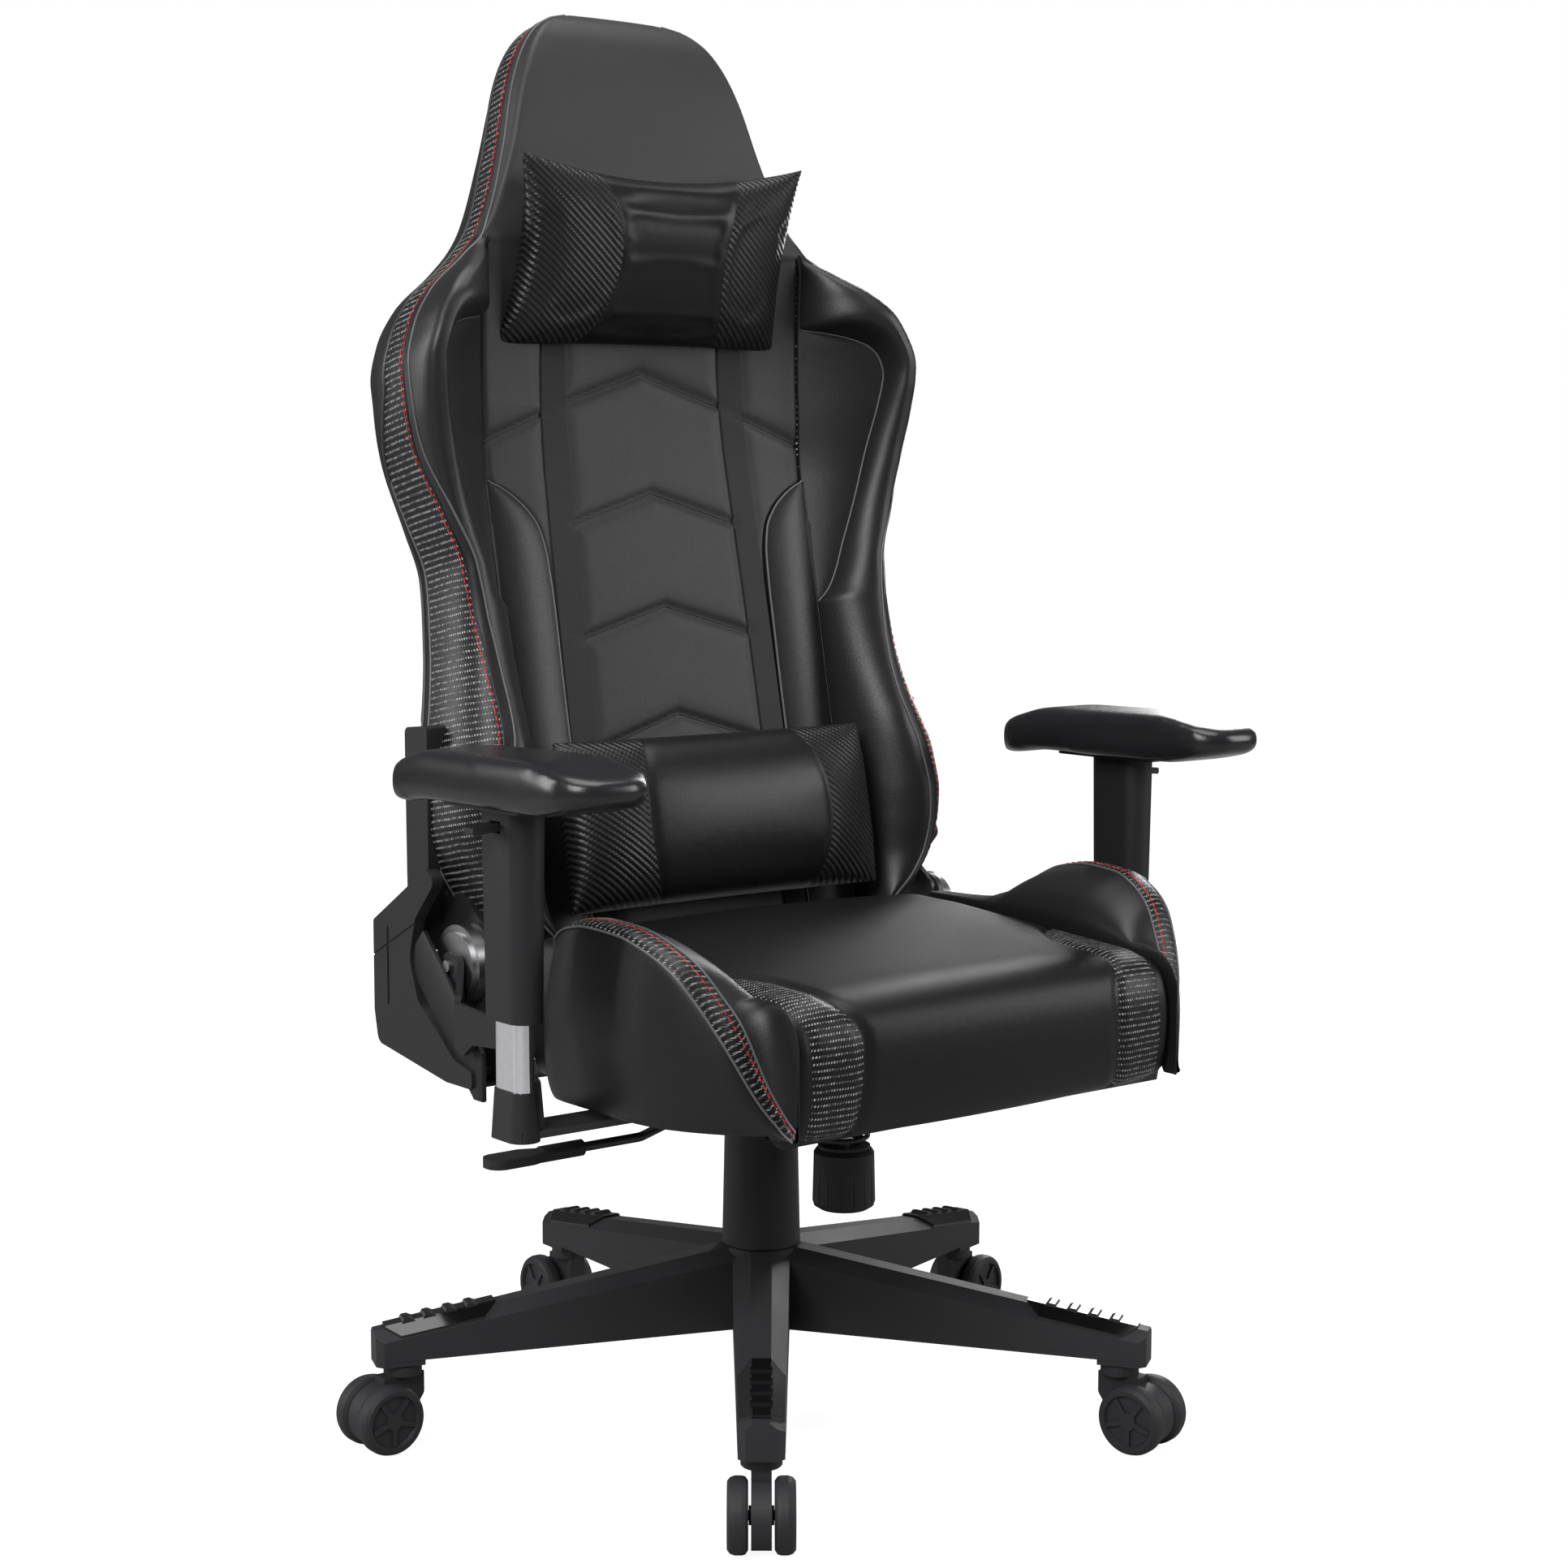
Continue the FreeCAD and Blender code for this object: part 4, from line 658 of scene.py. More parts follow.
# ---- shape of the back --------------------------------------------------------------------------
HALF = smooth([(6, 205), (34, 234), (60, 250), (89, 263), (120, 270), (150, 270), (200, 256),
    (276, 242), (334, 238), (378, 248), (433, 264), (470, 271), (505, 273), (538, 264),
    (570, 243), (600, 207), (625, 181), (645, 167), (705, 142), (770, 121), (805, 103),
    (826, 81), (834, 62), (838, 42)])
RIDGE_X = smooth([(6, 178), (34, 206), (60, 222), (90, 225), (120, 223), (150, 219), (180, 215),
    (210, 214), (240, 215), (270, 217), (300, 219), (334, 221), (360, 229), (390, 237),
    (433, 246), (470, 253), (505, 256), (538, 246), (570, 225), (600, 192), (622, 175)])
CREST = smooth([(6, 34), (34, 44), (60, 51), (90, 58), (120, 61), (150, 60), (180, 56.5),
    (210, 49.5), (240, 43.5), (270, 40), (300, 38.5), (334, 39.5), (378, 42.5), (433, 54),
    (470, 66), (498, 76), (530, 83), (555, 83), (580, 73), (600, 56), (622, 36.5), (645, 36.5),
    (705, 41), (770, 43), (805, 40), (826, 33), (838, 20)])
REAR_EDGE = smooth([(6, -31), (200, -34), (276, -36), (378, -34), (433, -28), (470, -12),
    (498, 0), (560, 5), (600, 3), (625, -1), (705, -8), (770, -8), (838, 0)])
BOXY = smooth([(6, 2.8), (60, 2.6), (150, 2.4), (240, 2.3), (300, 2.5), (335, 3.4), (378, 4.0),
    (838, 4.2)])
SEAM = smooth([(6, 121.5), (200, 121.5), (300, 121.5), (345, 123), (372, 128), (390, 139),
    (402, 152), (411, 166), (416, 176), (520, 177), (600, 176), (622, 171)])
SEAM_T = smooth([(6, -6), (200, -7), (300, -6), (420, -5.5), (484, 3), (520, 9), (557, 17),
    (600, 28), (622, 36)])
PANEL = smooth([(6, -4.7), (440, -4.7), (484, -3), (520, 2), (557, 11), (590, 22), (622, 34),
    (645, 38), (705, 42), (770, 44), (805, 41), (826, 34), (838, 21)])
INSET_X = smooth([(6, 178.5), (300, 178.5), (308, 186), (358, 205), (403, 220), (453, 234),
    (480, 241), (508, 246), (522, 243), (534, 235), (545, 216), (553, 192), (557, 178.5),
    (600, 178), (622, 174)])
STITCH_T = smooth([(6, 28), (60, 45), (90, 53), (120, 56.5), (150, 56), (180, 53), (210, 46),
    (240, 39), (270, 34), (300, 30.5), (330, 30), (360, 29), (390, 26.5), (433, 22), (475, 28),
    (520, 33), (560, 34), (600, 28), (625, 23), (645, 18), (705, 16), (770, 15), (805, 15),
    (826, 14), (838, 10)])
BAND_REAR = smooth([(6, 10), (60, 12), (200, 14), (330, 12), (400, 4), (450, -2), (838, -4)])
FOOT_X = 177.5          # straight seam at the foot of a wing's roll
FACET_SLOPE = 0.65      # of the flat field inside a wing's inset seam
BACK_LOW, BACK_TOP, NECK = 8.0, 838.0, 622.0
SIDE_POINTS, FRONT_POINTS = 37, 62      # on each side of the back's ridge, in every section
STATION = 4.0

CHEVRONS = [[(-179, 449), (-118, 473), (-83, 487), (0, 514), (83, 487), (118, 473), (179, 449)],
            [(-90, 377), (0, 405), (90, 377)], [(-96, 273), (0, 301), (96, 273)],
            [(-100, 171), (0, 202), (100, 171)]]
STRAP_X = smooth([(12, 107), (187, 106), (537, 98), (600, 96)])
STRAP_HALF = 12.5


def side_section(s):
    """The side of the back at s, from its rear corner round to the ridge."""
    w, c, r, n = (float(k(s)) for k in (HALF, CREST, REAR_EDGE, BOXY))
    shoulder = float(np.interp(s, (NECK, NECK + 30), (9, 13)))
    ridge = float(RIDGE_X(s)) if s <= NECK else w - min(shoulder, w * 0.3)
    base = r + 14.0
    a = np.linspace(0, math.pi / 2, 30)
    x = ridge + (w - ridge) * np.cos(a) ** (2 / n)
    t = base + (c - base) * np.sin(a) ** (2 / n)
    corner = bezier((w - 2.5, r), (w - 0.6, r + 4), (w, r + 8), (w, base), 8)
    return join_runs([corner, np.column_stack([x, t])])


def wing_section(s):
    """Half section of a wing: side, roll, flat field and insert, down to the seam."""
    a, f, c, xi = (float(k(s)) for k in (SEAM, SEAM_T, CREST, INSET_X))
    side = side_section(s)
    ridge = side[-1, 0]
    foot = max(FOOT_X, a + 0.6) if s < 560 else a + 0.6
    xi = max(xi, foot + 0.6)
    ti = f + FACET_SLOPE * (xi - foot)
    b = np.linspace(0, math.pi / 2, 26)
    roll = np.column_stack([ridge - (ridge - xi) * np.sin(b) ** 1.15,
                            ti + (c - ti) * np.cos(b) ** 1.1])
    facet = line((xi, ti), (foot, f), 16)
    facet[:, 1] += min(3.0, (xi - foot) * 0.06) * np.sin(np.linspace(0, math.pi, 16))
    insert = line((foot, f), (a, f + 0.3), 20)
    insert[:, 1] += min(4.5, (foot - a) * 0.08) * np.sin(np.linspace(0, math.pi, 20)) ** 0.8
    return side, roll, facet, insert


def head_section(s):
    """Half section of the headrest, from its rear corner to the middle."""
    side = side_section(s)
    x, c = side[-1]
    f = float(PANEL(s))
    return side, bezier((x, c), (x * 0.86, c + 0.6), (x * 0.5, f), (0, f), FRONT_POINTS)


def front_line(s):
    """The visible line of the back at s, from rear corner inwards, as (x, t) points."""
    return join_runs(head_section(s) if s > NECK else wing_section(s))


def stitch_run(s):
    """Distance from the rear corner to the contrast stitching."""
    side = side_section(s)
    return float(np.interp(min(float(STITCH_T(s)), side[-1, 1] - 1), side[:, 1], arc_length(side)))


def at_run(s, run):
    """Point (x, t) and outward normal at a distance from the rear corner."""
    return point_and_normal(front_line(s), run)


def back_line(table, side, lift=0.4, low=10.0, high=BACK_TOP - 1, step=5.0):
    """Line and normals along the back's side at a tabled distance from the rear corner."""
    points, ups = [], []
    for s in np.arange(low, high, step):
        (x, t), (nx, nt) = at_run(s, float(table(s)))
        points.append(on_back(side * (x + nx * lift), s, t + nt * lift))
        ups.append(side * nx * ACROSS + nt * OUT_BACK)
    return np.array(points), np.array(ups)


def panel_depth(x, s):
    """Depth of the centre panel before its seams are drawn in."""
    u = np.clip(np.abs(x) / SEAM(s), 0, 1) ** 2
    return PANEL(s) * (1 - u) + SEAM_T(s) * u


def panel_dent(x, s):
    """How far seams and straps draw the centre panel in."""
    flat = np.column_stack([np.ravel(x), np.ravel(s)])
    depth = sizes().seam_depth / MM
    dent = np.zeros(len(flat))
    for path in CHEVRONS:
        d = distance_to(flat, path)
        pull = 0.35 * np.exp(-(d / 10) ** 2) + 0.65 * np.exp(-(d / 3.4) ** 2)
        dent = np.maximum(dent, depth * pull)
    across = np.abs(np.abs(flat[:, 0]) - STRAP_X(flat[:, 1]))
    reach = np.where(flat[:, 1] < 600, 1.6, 0)
    dent = np.maximum(dent, reach * np.exp(-(np.maximum(across - STRAP_HALF, 0) / 7) ** 2))
    return dent.reshape(np.shape(x))


def panel_surface(x, s):
    """Depth of the centre panel as it is seen."""
    return panel_depth(x, s) - panel_dent(x, s)


# ---- operators: stage ---------------------------------------------------------------------------
# name, place, aim, power and the two sides of each lamp, in metres and watts
LAMPS = [("key", (-2.6, -1.6, 2.6), (0, 0, 0.8), 110, 1.4, 2.0),
         ("fill", (2.6, -2.2, 1.7), (0, 0, 0.7), 50, 1.4, 1.8),
         ("top", (0.2, -0.2, 3.2), (0, 0, 0.6), 50, 1.8, None),
         ("rim_left", (-2.4, 1.8, 1.6), (0, 0, 0.8), 45, 0.6, 2.0),
         ("rim_right", (2.6, 1.6, 1.6), (0, 0, 0.8), 45, 0.6, 2.0)]
CAMERA_PLACE = (-1.4775, -1.8884, 0.8189)
CAMERA_DOWN, CAMERA_ROUND = 6.19, 38.04     # degrees below the level, and round from the front


def area_light(name, place, aim, power, size, size_y):
    """A square lamp, or an oblong one where size_y is given, turned to its aim."""
    data = bpy.data.lights.new(name, "AREA")
    data.energy, data.size = power, size
    if size_y:
        data.shape, data.size_y = "RECTANGLE", size_y
    obj = in_scene(name, data)
    obj.location = place
    obj.rotation_euler = (Vector(aim) - Vector(place)).to_track_quat("-Z", "Y").to_euler()


class CHAIR_OT_stage(bpy.types.Operator):
    """Floor, studio light and camera"""
    bl_idname = "chair.stage"
    bl_label = "Stage"

    def execute(self, context):
        scene = context.scene
        scene.view_settings.view_transform = "Standard"
        world = scene.world or bpy.data.worlds.new("World")
        scene.world = world
        world.use_nodes = True
        world.node_tree.nodes.clear()
        w = Nodes(world.node_tree)
        ray = w.add("ShaderNodeLightPath").outputs
        seen = w.plus(ray["Is Camera Ray"], ray["Is Transmission Ray"], clamp=True)
        soft, bright = (w.fed("ShaderNodeBackground", (1, 1, 1, 1), power) for power in (0.12, 1.0))
        w.put(w.add("ShaderNodeOutputWorld").inputs[0],
              w.fed("ShaderNodeMixShader", seen, soft, bright))

        bpy.ops.mesh.primitive_plane_add(size=30, location=(0, 0, -0.0006))
        floor = context.object
        floor.name = "studio_floor"
        m = Finish("studio floor")
        m.set(color=(0.35, 0.35, 0.35, 1), roughness=0.9)
        away = m.add("ShaderNodeVectorMath", {"Vector": m.coordinates()}, operation="LENGTH")
        away = m.times(m.minus(away.outputs["Value"], 0.7), 0.6, clamp=True)
        glow = m.plus(m.times(away, 0.08), 0.92)
        white = m.fed("ShaderNodeEmission", (1, 1, 1, 1), glow)
        lit = m.fed("ShaderNodeBsdfDiffuse", (0.30, 0.30, 0.30, 1))
        seen = m.fed("ShaderNodeAddShader", white, lit)
        ray = m.add("ShaderNodeLightPath").outputs["Is Camera Ray"]
        m.put(m.tree.nodes["Material Output"].inputs[0],
              m.fed("ShaderNodeMixShader", ray, m.shader.outputs[0], seen))
        dress(floor, m.material)

        for lamp in LAMPS:
            area_light(*lamp)

        data = bpy.data.cameras.new("camera")
        data.lens, data.sensor_width = 63.18, 36.0
        data.shift_x, data.shift_y = 0.01457, 0.00098
        camera = in_scene("camera", data)
        camera.location = CAMERA_PLACE
        camera.rotation_euler = (math.radians(90 - CAMERA_DOWN), 0, -math.radians(CAMERA_ROUND))
        scene.camera = camera
        return {"FINISHED"}


# ---- operators: back ----------------------------------------------------------------------------
class CHAIR_OT_back_pad(bpy.types.Operator):
    """Centre panel of the back with the headrest"""
    bl_idname = "chair.back_pad"
    bl_label = "Centre panel and headrest"

    def execute(self, context):
        rings, uvs, bands = [], [], []
        stations = list(np.arange(BACK_LOW, BACK_TOP - 6, 3.2))
        for s in stations + [BACK_TOP - 5, BACK_TOP - 3, BACK_TOP - 1.6]:
            head = s > NECK
            if head:
                side, front = head_section(s)
                rear = float(REAR_EDGE(s))
            else:
                a, f, rear = float(SEAM(s)) + 1.0, float(SEAM_T(s)), -31.0
                side = line((a, rear), (a, f - 5), SIDE_POINTS)
                x = np.linspace(a, 0, FRONT_POINTS)
                t = panel_surface(x, np.full(len(x), s))
                t -= (0.8 + 2.2 * min(1.0, (NECK - s) / 30)) * np.exp(-((a - x) / 3.5) ** 2)
                front = np.column_stack([x, t])
            half = join_runs([side, front])
            back = line((0, rear), half[0], 9)[:-1]
            ring = np.vstack([back, half, half[::-1][1:] * [-1, 1], (back[::-1] * [-1, 1])[:-1]])
            run = arc_length(half)
            run = np.concatenate([np.full(8, 0.0), run, run[::-1][1:], np.full(7, 0.0)])
            rings.append(on_back(ring[:, 0], s, ring[:, 1]))
            uvs.append(along_and_round(s, run))
            bands.append(np.minimum(stitch_run(s) + 4 - run, run - float(BAND_REAR(s))) if head
                         else np.full(len(ring), NO_BAND))
        obj = dressed_loft("backrest_centre", rings, uvs, bands, 60,
                           leather("panel leather", 2.2, 0.50, "band"))
        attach(obj, "backrest")
        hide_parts("backrest_pad")
        return {"FINISHED"}


class CHAIR_OT_back_wings(bpy.types.Operator):
    """The two wings of the back"""
    bl_idname = "chair.back_wings"
    bl_label = "Back wings"

    def execute(self, context):
        for side, word in SIDES:
            rings, uvs, bands = [], [], []
            for s in list(np.arange(BACK_LOW, NECK - 2, STATION)) + [NECK - 1, NECK + 1]:
                q = min(s, NECK)
                a, f, r, w = (float(k(q)) for k in (SEAM, SEAM_T, REAR_EDGE, HALF))
                half = join_runs(wing_section(q))
                run = arc_length(half)
                low = min(r, -29.5)
                seam = line(half[-1], (a + 0.2, f - 10), 5)[1:]
                inner = line((a + 0.2, f - 10), (a + 0.2, low), 5)[1:]
                under = line((a + 0.2, low), (w - 8, low), 8)[1:]
                turn = line((w - 8, low), half[0], 5)[1:-1]
                ring = np.vstack([half, seam, inner, under, turn])
                far = np.concatenate([run, np.full(len(ring) - len(run), run[-1])])
                rings.append(on_back(side * ring[:, 0], s, ring[:, 1]))
                uvs.append(along_and_round(s, far))
                edge = np.minimum(stitch_run(q) + 4 - far, far - float(BAND_REAR(s)))
                edge[len(run):] = 3 if BAND_REAR(s) < 0 else NO_BAND
                bands.append(edge)
            obj = dressed_loft("wing_pad_" + word, rings, uvs, bands, 60,
                               leather("wing leather " + word, 1.25, 0.38, "band"))
            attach(obj, "backrest")
            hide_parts("backrest_wing_" + word)
        return {"FINISHED"}


class CHAIR_OT_back_shell(bpy.types.Operator):
    """Upholstered rear of the back"""
    bl_idname = "chair.back_shell"
    bl_label = "Rear shell"

    def execute(self, context):
        rear_t = smooth([(6, -55), (500, -55), (600, -53), (705, -41), (770, -22), (825, -8),
            (838, -3)])
        step_in = smooth([(6, 243), (205, 243), (222, 400), (838, 400)])
        rings, uvs = [], []
        for s in list(np.arange(BACK_LOW, BACK_TOP - 3, STATION * 1.5)) + [BACK_TOP - 1.6]:
            w = min(float(HALF(s)) - 2.2, float(step_in(s)))
            r = float(REAR_EDGE(s)) - 0.5
            t = min(float(rear_t(s)), r - 2)
            turn = min(34.0, w * 0.4)
            corner = bezier((w, r), (w + 0.5, r - (r - t) * 0.5), (w - turn * 0.3, t + 1),
                            (w - turn, t), 16)
            back = bezier((w - turn, t), (w * 0.6, t - 1.0), (w * 0.3, t - 1.0), (0, t - 1.0), 16)
            half = join_runs([corner, back])
            floor = min(max(t + 3, -33.0), r - 1)
            inner = np.array([(0, floor), (w * 0.5, floor), (w - 12, floor), (w - 8, r - 0.5)])
            ring = np.vstack([half, (half[::-1] * [-1, 1])[1:], (inner[::-1] * [-1, 1]), inner[1:]])
            rings.append(on_back(ring[:, 0], s, ring[:, 1]))
            uvs.append(along_and_round(s, arc_length(ring)))
        obj = dressed_loft("backrest_rear", rings, uvs, None, 60,
                           leather("rear leather", 1.0, 0.42))
        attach(obj, "backrest")
        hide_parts("back_rear_cover")
        return {"FINISHED"}


class CHAIR_OT_straps(bpy.types.Operator):
    """Webbing straps down the centre panel"""
    bl_idname = "chair.straps"
    bl_label = "Straps"

    def execute(self, context):
        parts = []
        for side in (-1, 1):
            rings = []
            for s in np.arange(10.0, 602.0, 6.0):
                x = float(STRAP_X(s)) + np.array([-1, -0.5, 0, 0.5, 1]) * STRAP_HALF
                t = panel_surface(x, np.full(len(x), s)) + 0.25
                ring = np.vstack([np.column_stack([x, t + 1.5]), np.column_stack([x, t])[::-1]])
                rings.append(on_back(side * ring[:, 0], s, ring[:, 1]))
            parts.append(loft("strap", rings))
        obj = joined("head_pillow_straps", parts)
        outward(obj)
        rounded(obj, 40)
        dress(obj, webbing("strap webbing cloth"))
        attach(obj, "backrest")
        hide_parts("pillow_straps")
        return {"FINISHED"}


class CHAIR_OT_back_trim(bpy.types.Operator):
    """Piping, contrast stitching and seam cords of the back; the light piping carries painted
    highlight and the seam cords painted shade
    """
    bl_idname = "chair.back_trim"
    bl_label = "Back piping and stitching"

    def execute(self, context):
        dark, light, seams, stitch_paths, stitch_ups = [], [], [], [], []
        for side in (-1, 1):
            light.append(back_line(lambda s: stitch_run(s) + 14.0, side, 0.2)[0])
            seams.append(back_line(lambda s: stitch_run(s) + 4.0, side, 0.0)[0])
            path, up = back_line(stitch_run, side, 0.35)
            stitch_paths.append(path)
            stitch_ups.append(up)
            dark.append(back_line(lambda s: 0.5, side, 0.6)[0])
            light.append(back_line(BAND_REAR, side, 0.2, 14.0, 440.0)[0])
            inset = []
            for s in list(np.arange(300.0, 508, 6)) + list(np.arange(508.0, 556.5, 1.5)):
                x, f = float(INSET_X(s)), float(SEAM_T(s))
                inset.append(on_back(side * x, s, f + FACET_SLOPE * (x - FOOT_X) + 0.5))
            light.append(resample(np.array(inset), step=4))
            seams.append(np.array([on_back(side * (FOOT_X + 0.3), s, float(SEAM_T(s)) + 0.4)
                                   for s in np.arange(14.0, 420, 6)]))
            insert = [on_back(side * float(SEAM(s)), s, float(SEAM_T(s)) + 0.6)
                      for s in np.arange(14.0, 417, 2)]
            light.append(resample(np.array(insert), step=4))
        for path in CHEVRONS:
            flat = resample(np.array(path, float), step=3)
            seams.append(on_back(*flat.T, panel_surface(*flat.T) + 0.1))
        r = sizes().piping_r
        for name, paths, radius, gain in (("back_edge_piping", dark, r, 0.7),
                                          # light piping: the grey piping colour raised 3.2 times,
                                          # partly real piping and partly a painted highlight
                                          ("back_piping_painted_highlight", light, r * FINE_PIPING, 3.2),
                                          # seam cords: near-black cords in the seam lines, painted
                                          # shade of the seam grooves
                                          ("back_seam_painted_shade", seams, 0.0009, 0.05)):
            obj = tube_along(name, paths, radius)
            dress(obj, cord_finish(name.replace("_", " "), gain))
            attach(obj, "backrest")
        obj = stitches("back_stitching", stitch_paths, stitch_ups)
        dress(obj, plain_thread("red thread", finish().thread))
        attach(obj, "backrest")
        return {"FINISHED"}


# ---- operators: pillows -------------------------------------------------------------------------
def pillow_shape(name, width, height, thick, pinch, dip, pulls, step=5.0, square=5.0):
    """A stuffed pillow lying flat, its top edge dipped and its corners pulled out."""
    nu, nv = int(width / step) + 1, int(height / step) + 1
    u, v = np.meshgrid(np.linspace(-1, 1, nu), np.linspace(-1, 1, nv), indexing="ij")
    edge_x = 1 - pinch[0] * (1 - v ** 2)
    edge_s = 1 - pinch[1] * (1 - u ** 2)
    x, s = u * width / 2 * edge_x, v * height / 2 * edge_s
    s = s - dip * (1 - u ** 2) * np.clip(v, 0, 1) ** 2
    for (cu, cv), (dx, ds) in pulls:
        near = np.clip((1 + cu * u) / 2, 0, 1) ** 3 * np.clip((1 + cv * v) / 2, 0, 1) ** 3
        x, s = x + dx * near, s + ds * near
    bulge = (1 - np.abs(u) ** square) ** 0.55 * (1 - np.abs(v) ** 2.4) ** 0.6
    top = np.stack([x, s, bulge * thick / 2], -1)
    low = np.stack([x, s, -bulge * thick / 2], -1)
    points = np.vstack([top.reshape(-1, 3), low.reshape(-1, 3)])
    faces, n = [], nu * nv
    for i in range(nu - 1):
        for j in range(nv - 1):
            a, b, c, d = i * nv + j, (i + 1) * nv + j, (i + 1) * nv + j + 1, i * nv + j + 1
            faces.append((a, b, c, d))
            faces.append((n + d, n + c, n + b, n + a))
    obj = new_object(name, points, faces)
    flat = np.vstack([np.stack([u, v], -1).reshape(-1, 2)] * 2)
    attribute(obj, "pu", flat[:, 0])
    attribute(obj, "pv", flat[:, 1])
    write_uv(obj, points[:, :2] * MM)
    outward(obj)
    return obj


def place_on_back(obj, s0, t0, tilt):
    """Moves a pillow from its own flat frame onto the back, leaning forward by tilt degrees."""
    co = coords(obj)
    a = math.radians(tilt)
    s = co[:, 1] * math.cos(a) - co[:, 2] * math.sin(a) + s0
    t = co[:, 1] * math.sin(a) + co[:, 2] * math.cos(a) + t0
    set_coords(obj, on_back(co[:, 0], s, t))


def make_pillow(name, body, node, size, pinch, dip, pulls, place, seam_at, waist, cap, gain,
                shine):
    """A stuffed pillow with ribbed ends beyond its two seams, in its place on the back."""
    obj = pillow_shape(name, *size, pinch, dip, pulls)
    pu, pv = read_attribute(obj, "pu"), read_attribute(obj, "pv")
    rim = (np.abs(pu) > 0.999) | (np.abs(pv) > 0.999)
    half = seam_at + waist * pv ** 2
    near = np.abs(np.abs(pu) - half) * size[0] / 2
    co = coords(obj)
    pull = 2.2 * np.exp(-(near / 4.0) ** 2) * (1 - pv ** 2) ** 0.5
    co[:, 2] -= np.sign(co[:, 2]) * pull
    set_coords(obj, co)
    swell(obj, cap, rim | (near < size[0] * 0.012))
    applied(obj, "SUBSURF", levels=1, render_levels=1)
    pu, pv = read_attribute(obj, "pu"), read_attribute(obj, "pv")
    attribute(obj, "band", (np.abs(pu) - (seam_at + waist * pv ** 2)) * size[0] / 2)
    place_on_back(obj, *place)
    rounded(obj, 70)
    # the ribbed ends' colour carries painted shade in the rib hollows and painted highlight on the
    # rib crests
    dress(obj, leather(name.replace("_", " ") + " leather", gain, 0.34, "band", "ribs", shine))
    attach(obj, body)
    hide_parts(node)
    return obj


class CHAIR_OT_pillows(bpy.types.Operator):
    """Head and lumbar pillows"""
    bl_idname = "chair.pillows"
    bl_label = "Pillows"

    def execute(self, context):
        make_pillow("head_cushion", "backrest", "head_pillow",
                    size=(306, 168, 66), pinch=(0.08, 0.04), dip=14.0,
                    pulls=[((-1, -1), (-12, -3)), ((-1, 1), (-5, 2)), ((1, 1), (2, 7))],
                    place=(611, 42, 26), seam_at=0.40, waist=0.10, cap=2.5,
                    gain=0.45, shine=0.30)
        make_pillow("lumbar_cushion", "lumbar", "lumbar_pillow",
                    size=(344, 152, 74), pinch=(0.02, 0.015), dip=0.0, pulls=[],
                    place=(104, 38, 0), seam_at=0.60, waist=-0.12, cap=5,
                    gain=0.65, shine=0.36)
        return {"FINISHED"}


# ---- operators: seat ----------------------------------------------------------------------------
SEAT_SIDE = 203.0
SEAT_TOP = smooth([(-310, 352), (-308, 396), (-303, 412), (-296, 421), (-284, 429),
    (-266, 433.5), (-238, 435), (-150, 441), (-40, 448), (38, 449)])
SEAT_PROFILE = [(-286, 318), (-296, 319), (-303, 328), (-308, 350), (-309.5, 374), (-308, 396),
    (-303, 412), (-294, 423), (-280, 430.5), (-262, 434), (-238, 435), (-150, 441), (-40, 448),
    (20, 449), (34, 444), (38, 432), (38, 364), (30, 356), (-100, 354), (-255, 354), (-262, 350),
    (-264, 330), (-270, 320)]
STRIP_IN = smooth([(0, 143), (60, 138), (90, 137), (118, 146), (140, 153), (185, 154),
    (240, 178), (262, 203), (500, 230)])
STRIP_OUT = smooth([(0, 189), (90, 188), (125, 192), (160, 199), (180, 203.5), (500, 204)])
BOLSTER_OUT = smooth([(-308, 206), (-300, 214), (-287, 229), (-269, 248), (-250, 263),
    (-232, 274), (-206, 284), (-180, 287.5), (-100, 287.5), (-82, 286), (-74, 262), (-66, 241),
    (8, 240)])
RIDGE_AT = smooth([(-308, 204.4), (-300, 208), (-287, 219), (-269, 240), (-250, 253),
    (-232, 262), (-206, 270), (-180, 275), (-142, 277), (-100, 274), (-82, 266), (-66, 226),
    (8, 222)])
RIDGE_Z = smooth([(-308, 328), (-298, 336), (-287, 354), (-269, 404), (-250, 438), (-232, 460),
    (-206, 475), (-180, 483), (-142, 485), (-110, 480), (-90, 470), (-74, 455), (-60, 449),
    (8, 446)])
BAND_FADE = smooth([(-308, 0.35), (-287, 0.62), (-260, 0.9), (-230, 1.0), (-74, 1.0), (8, 1.0)])


def bolster_section(y):
    """Section of a bolster at y, (x, z) points round from its foot, and which one is its ridge."""
    out, rx, rz = (float(k(y)) for k in (BOLSTER_OUT, RIDGE_AT, RIDGE_Z))
    foot = 330.0 if y > -290 else 326.0
    top = min(float(SEAT_TOP(y)) - 3.0, 446.0)
    foot = min(foot, rz - 3)
    base = max(out - 16.0, SEAT_SIDE + 1.2)
    outer = bezier((base, foot), (out + 1, foot + 4), (out + 3, foot + (rz - foot) * 0.62),
                   (rx + min(5, out - rx), rz - 1.5), 44)
    inner = bezier((rx - min(4, (rx - 204) * 0.5), rz - 0.5), (rx - (rx - 204) * 0.35, rz - 1.0),
                   (206, max(rz, top) - (rz - top) * 0.35), (SEAT_SIDE + 0.7, top), 26)
    floor = line((SEAT_SIDE + 0.7, foot), (base, foot), 8)[:-1]
    wall = line(inner[-1], floor[0], 12)[1:-1]
    ring = np.vstack([floor, outer, inner, wall])
    return ring, len(floor) + len(outer)


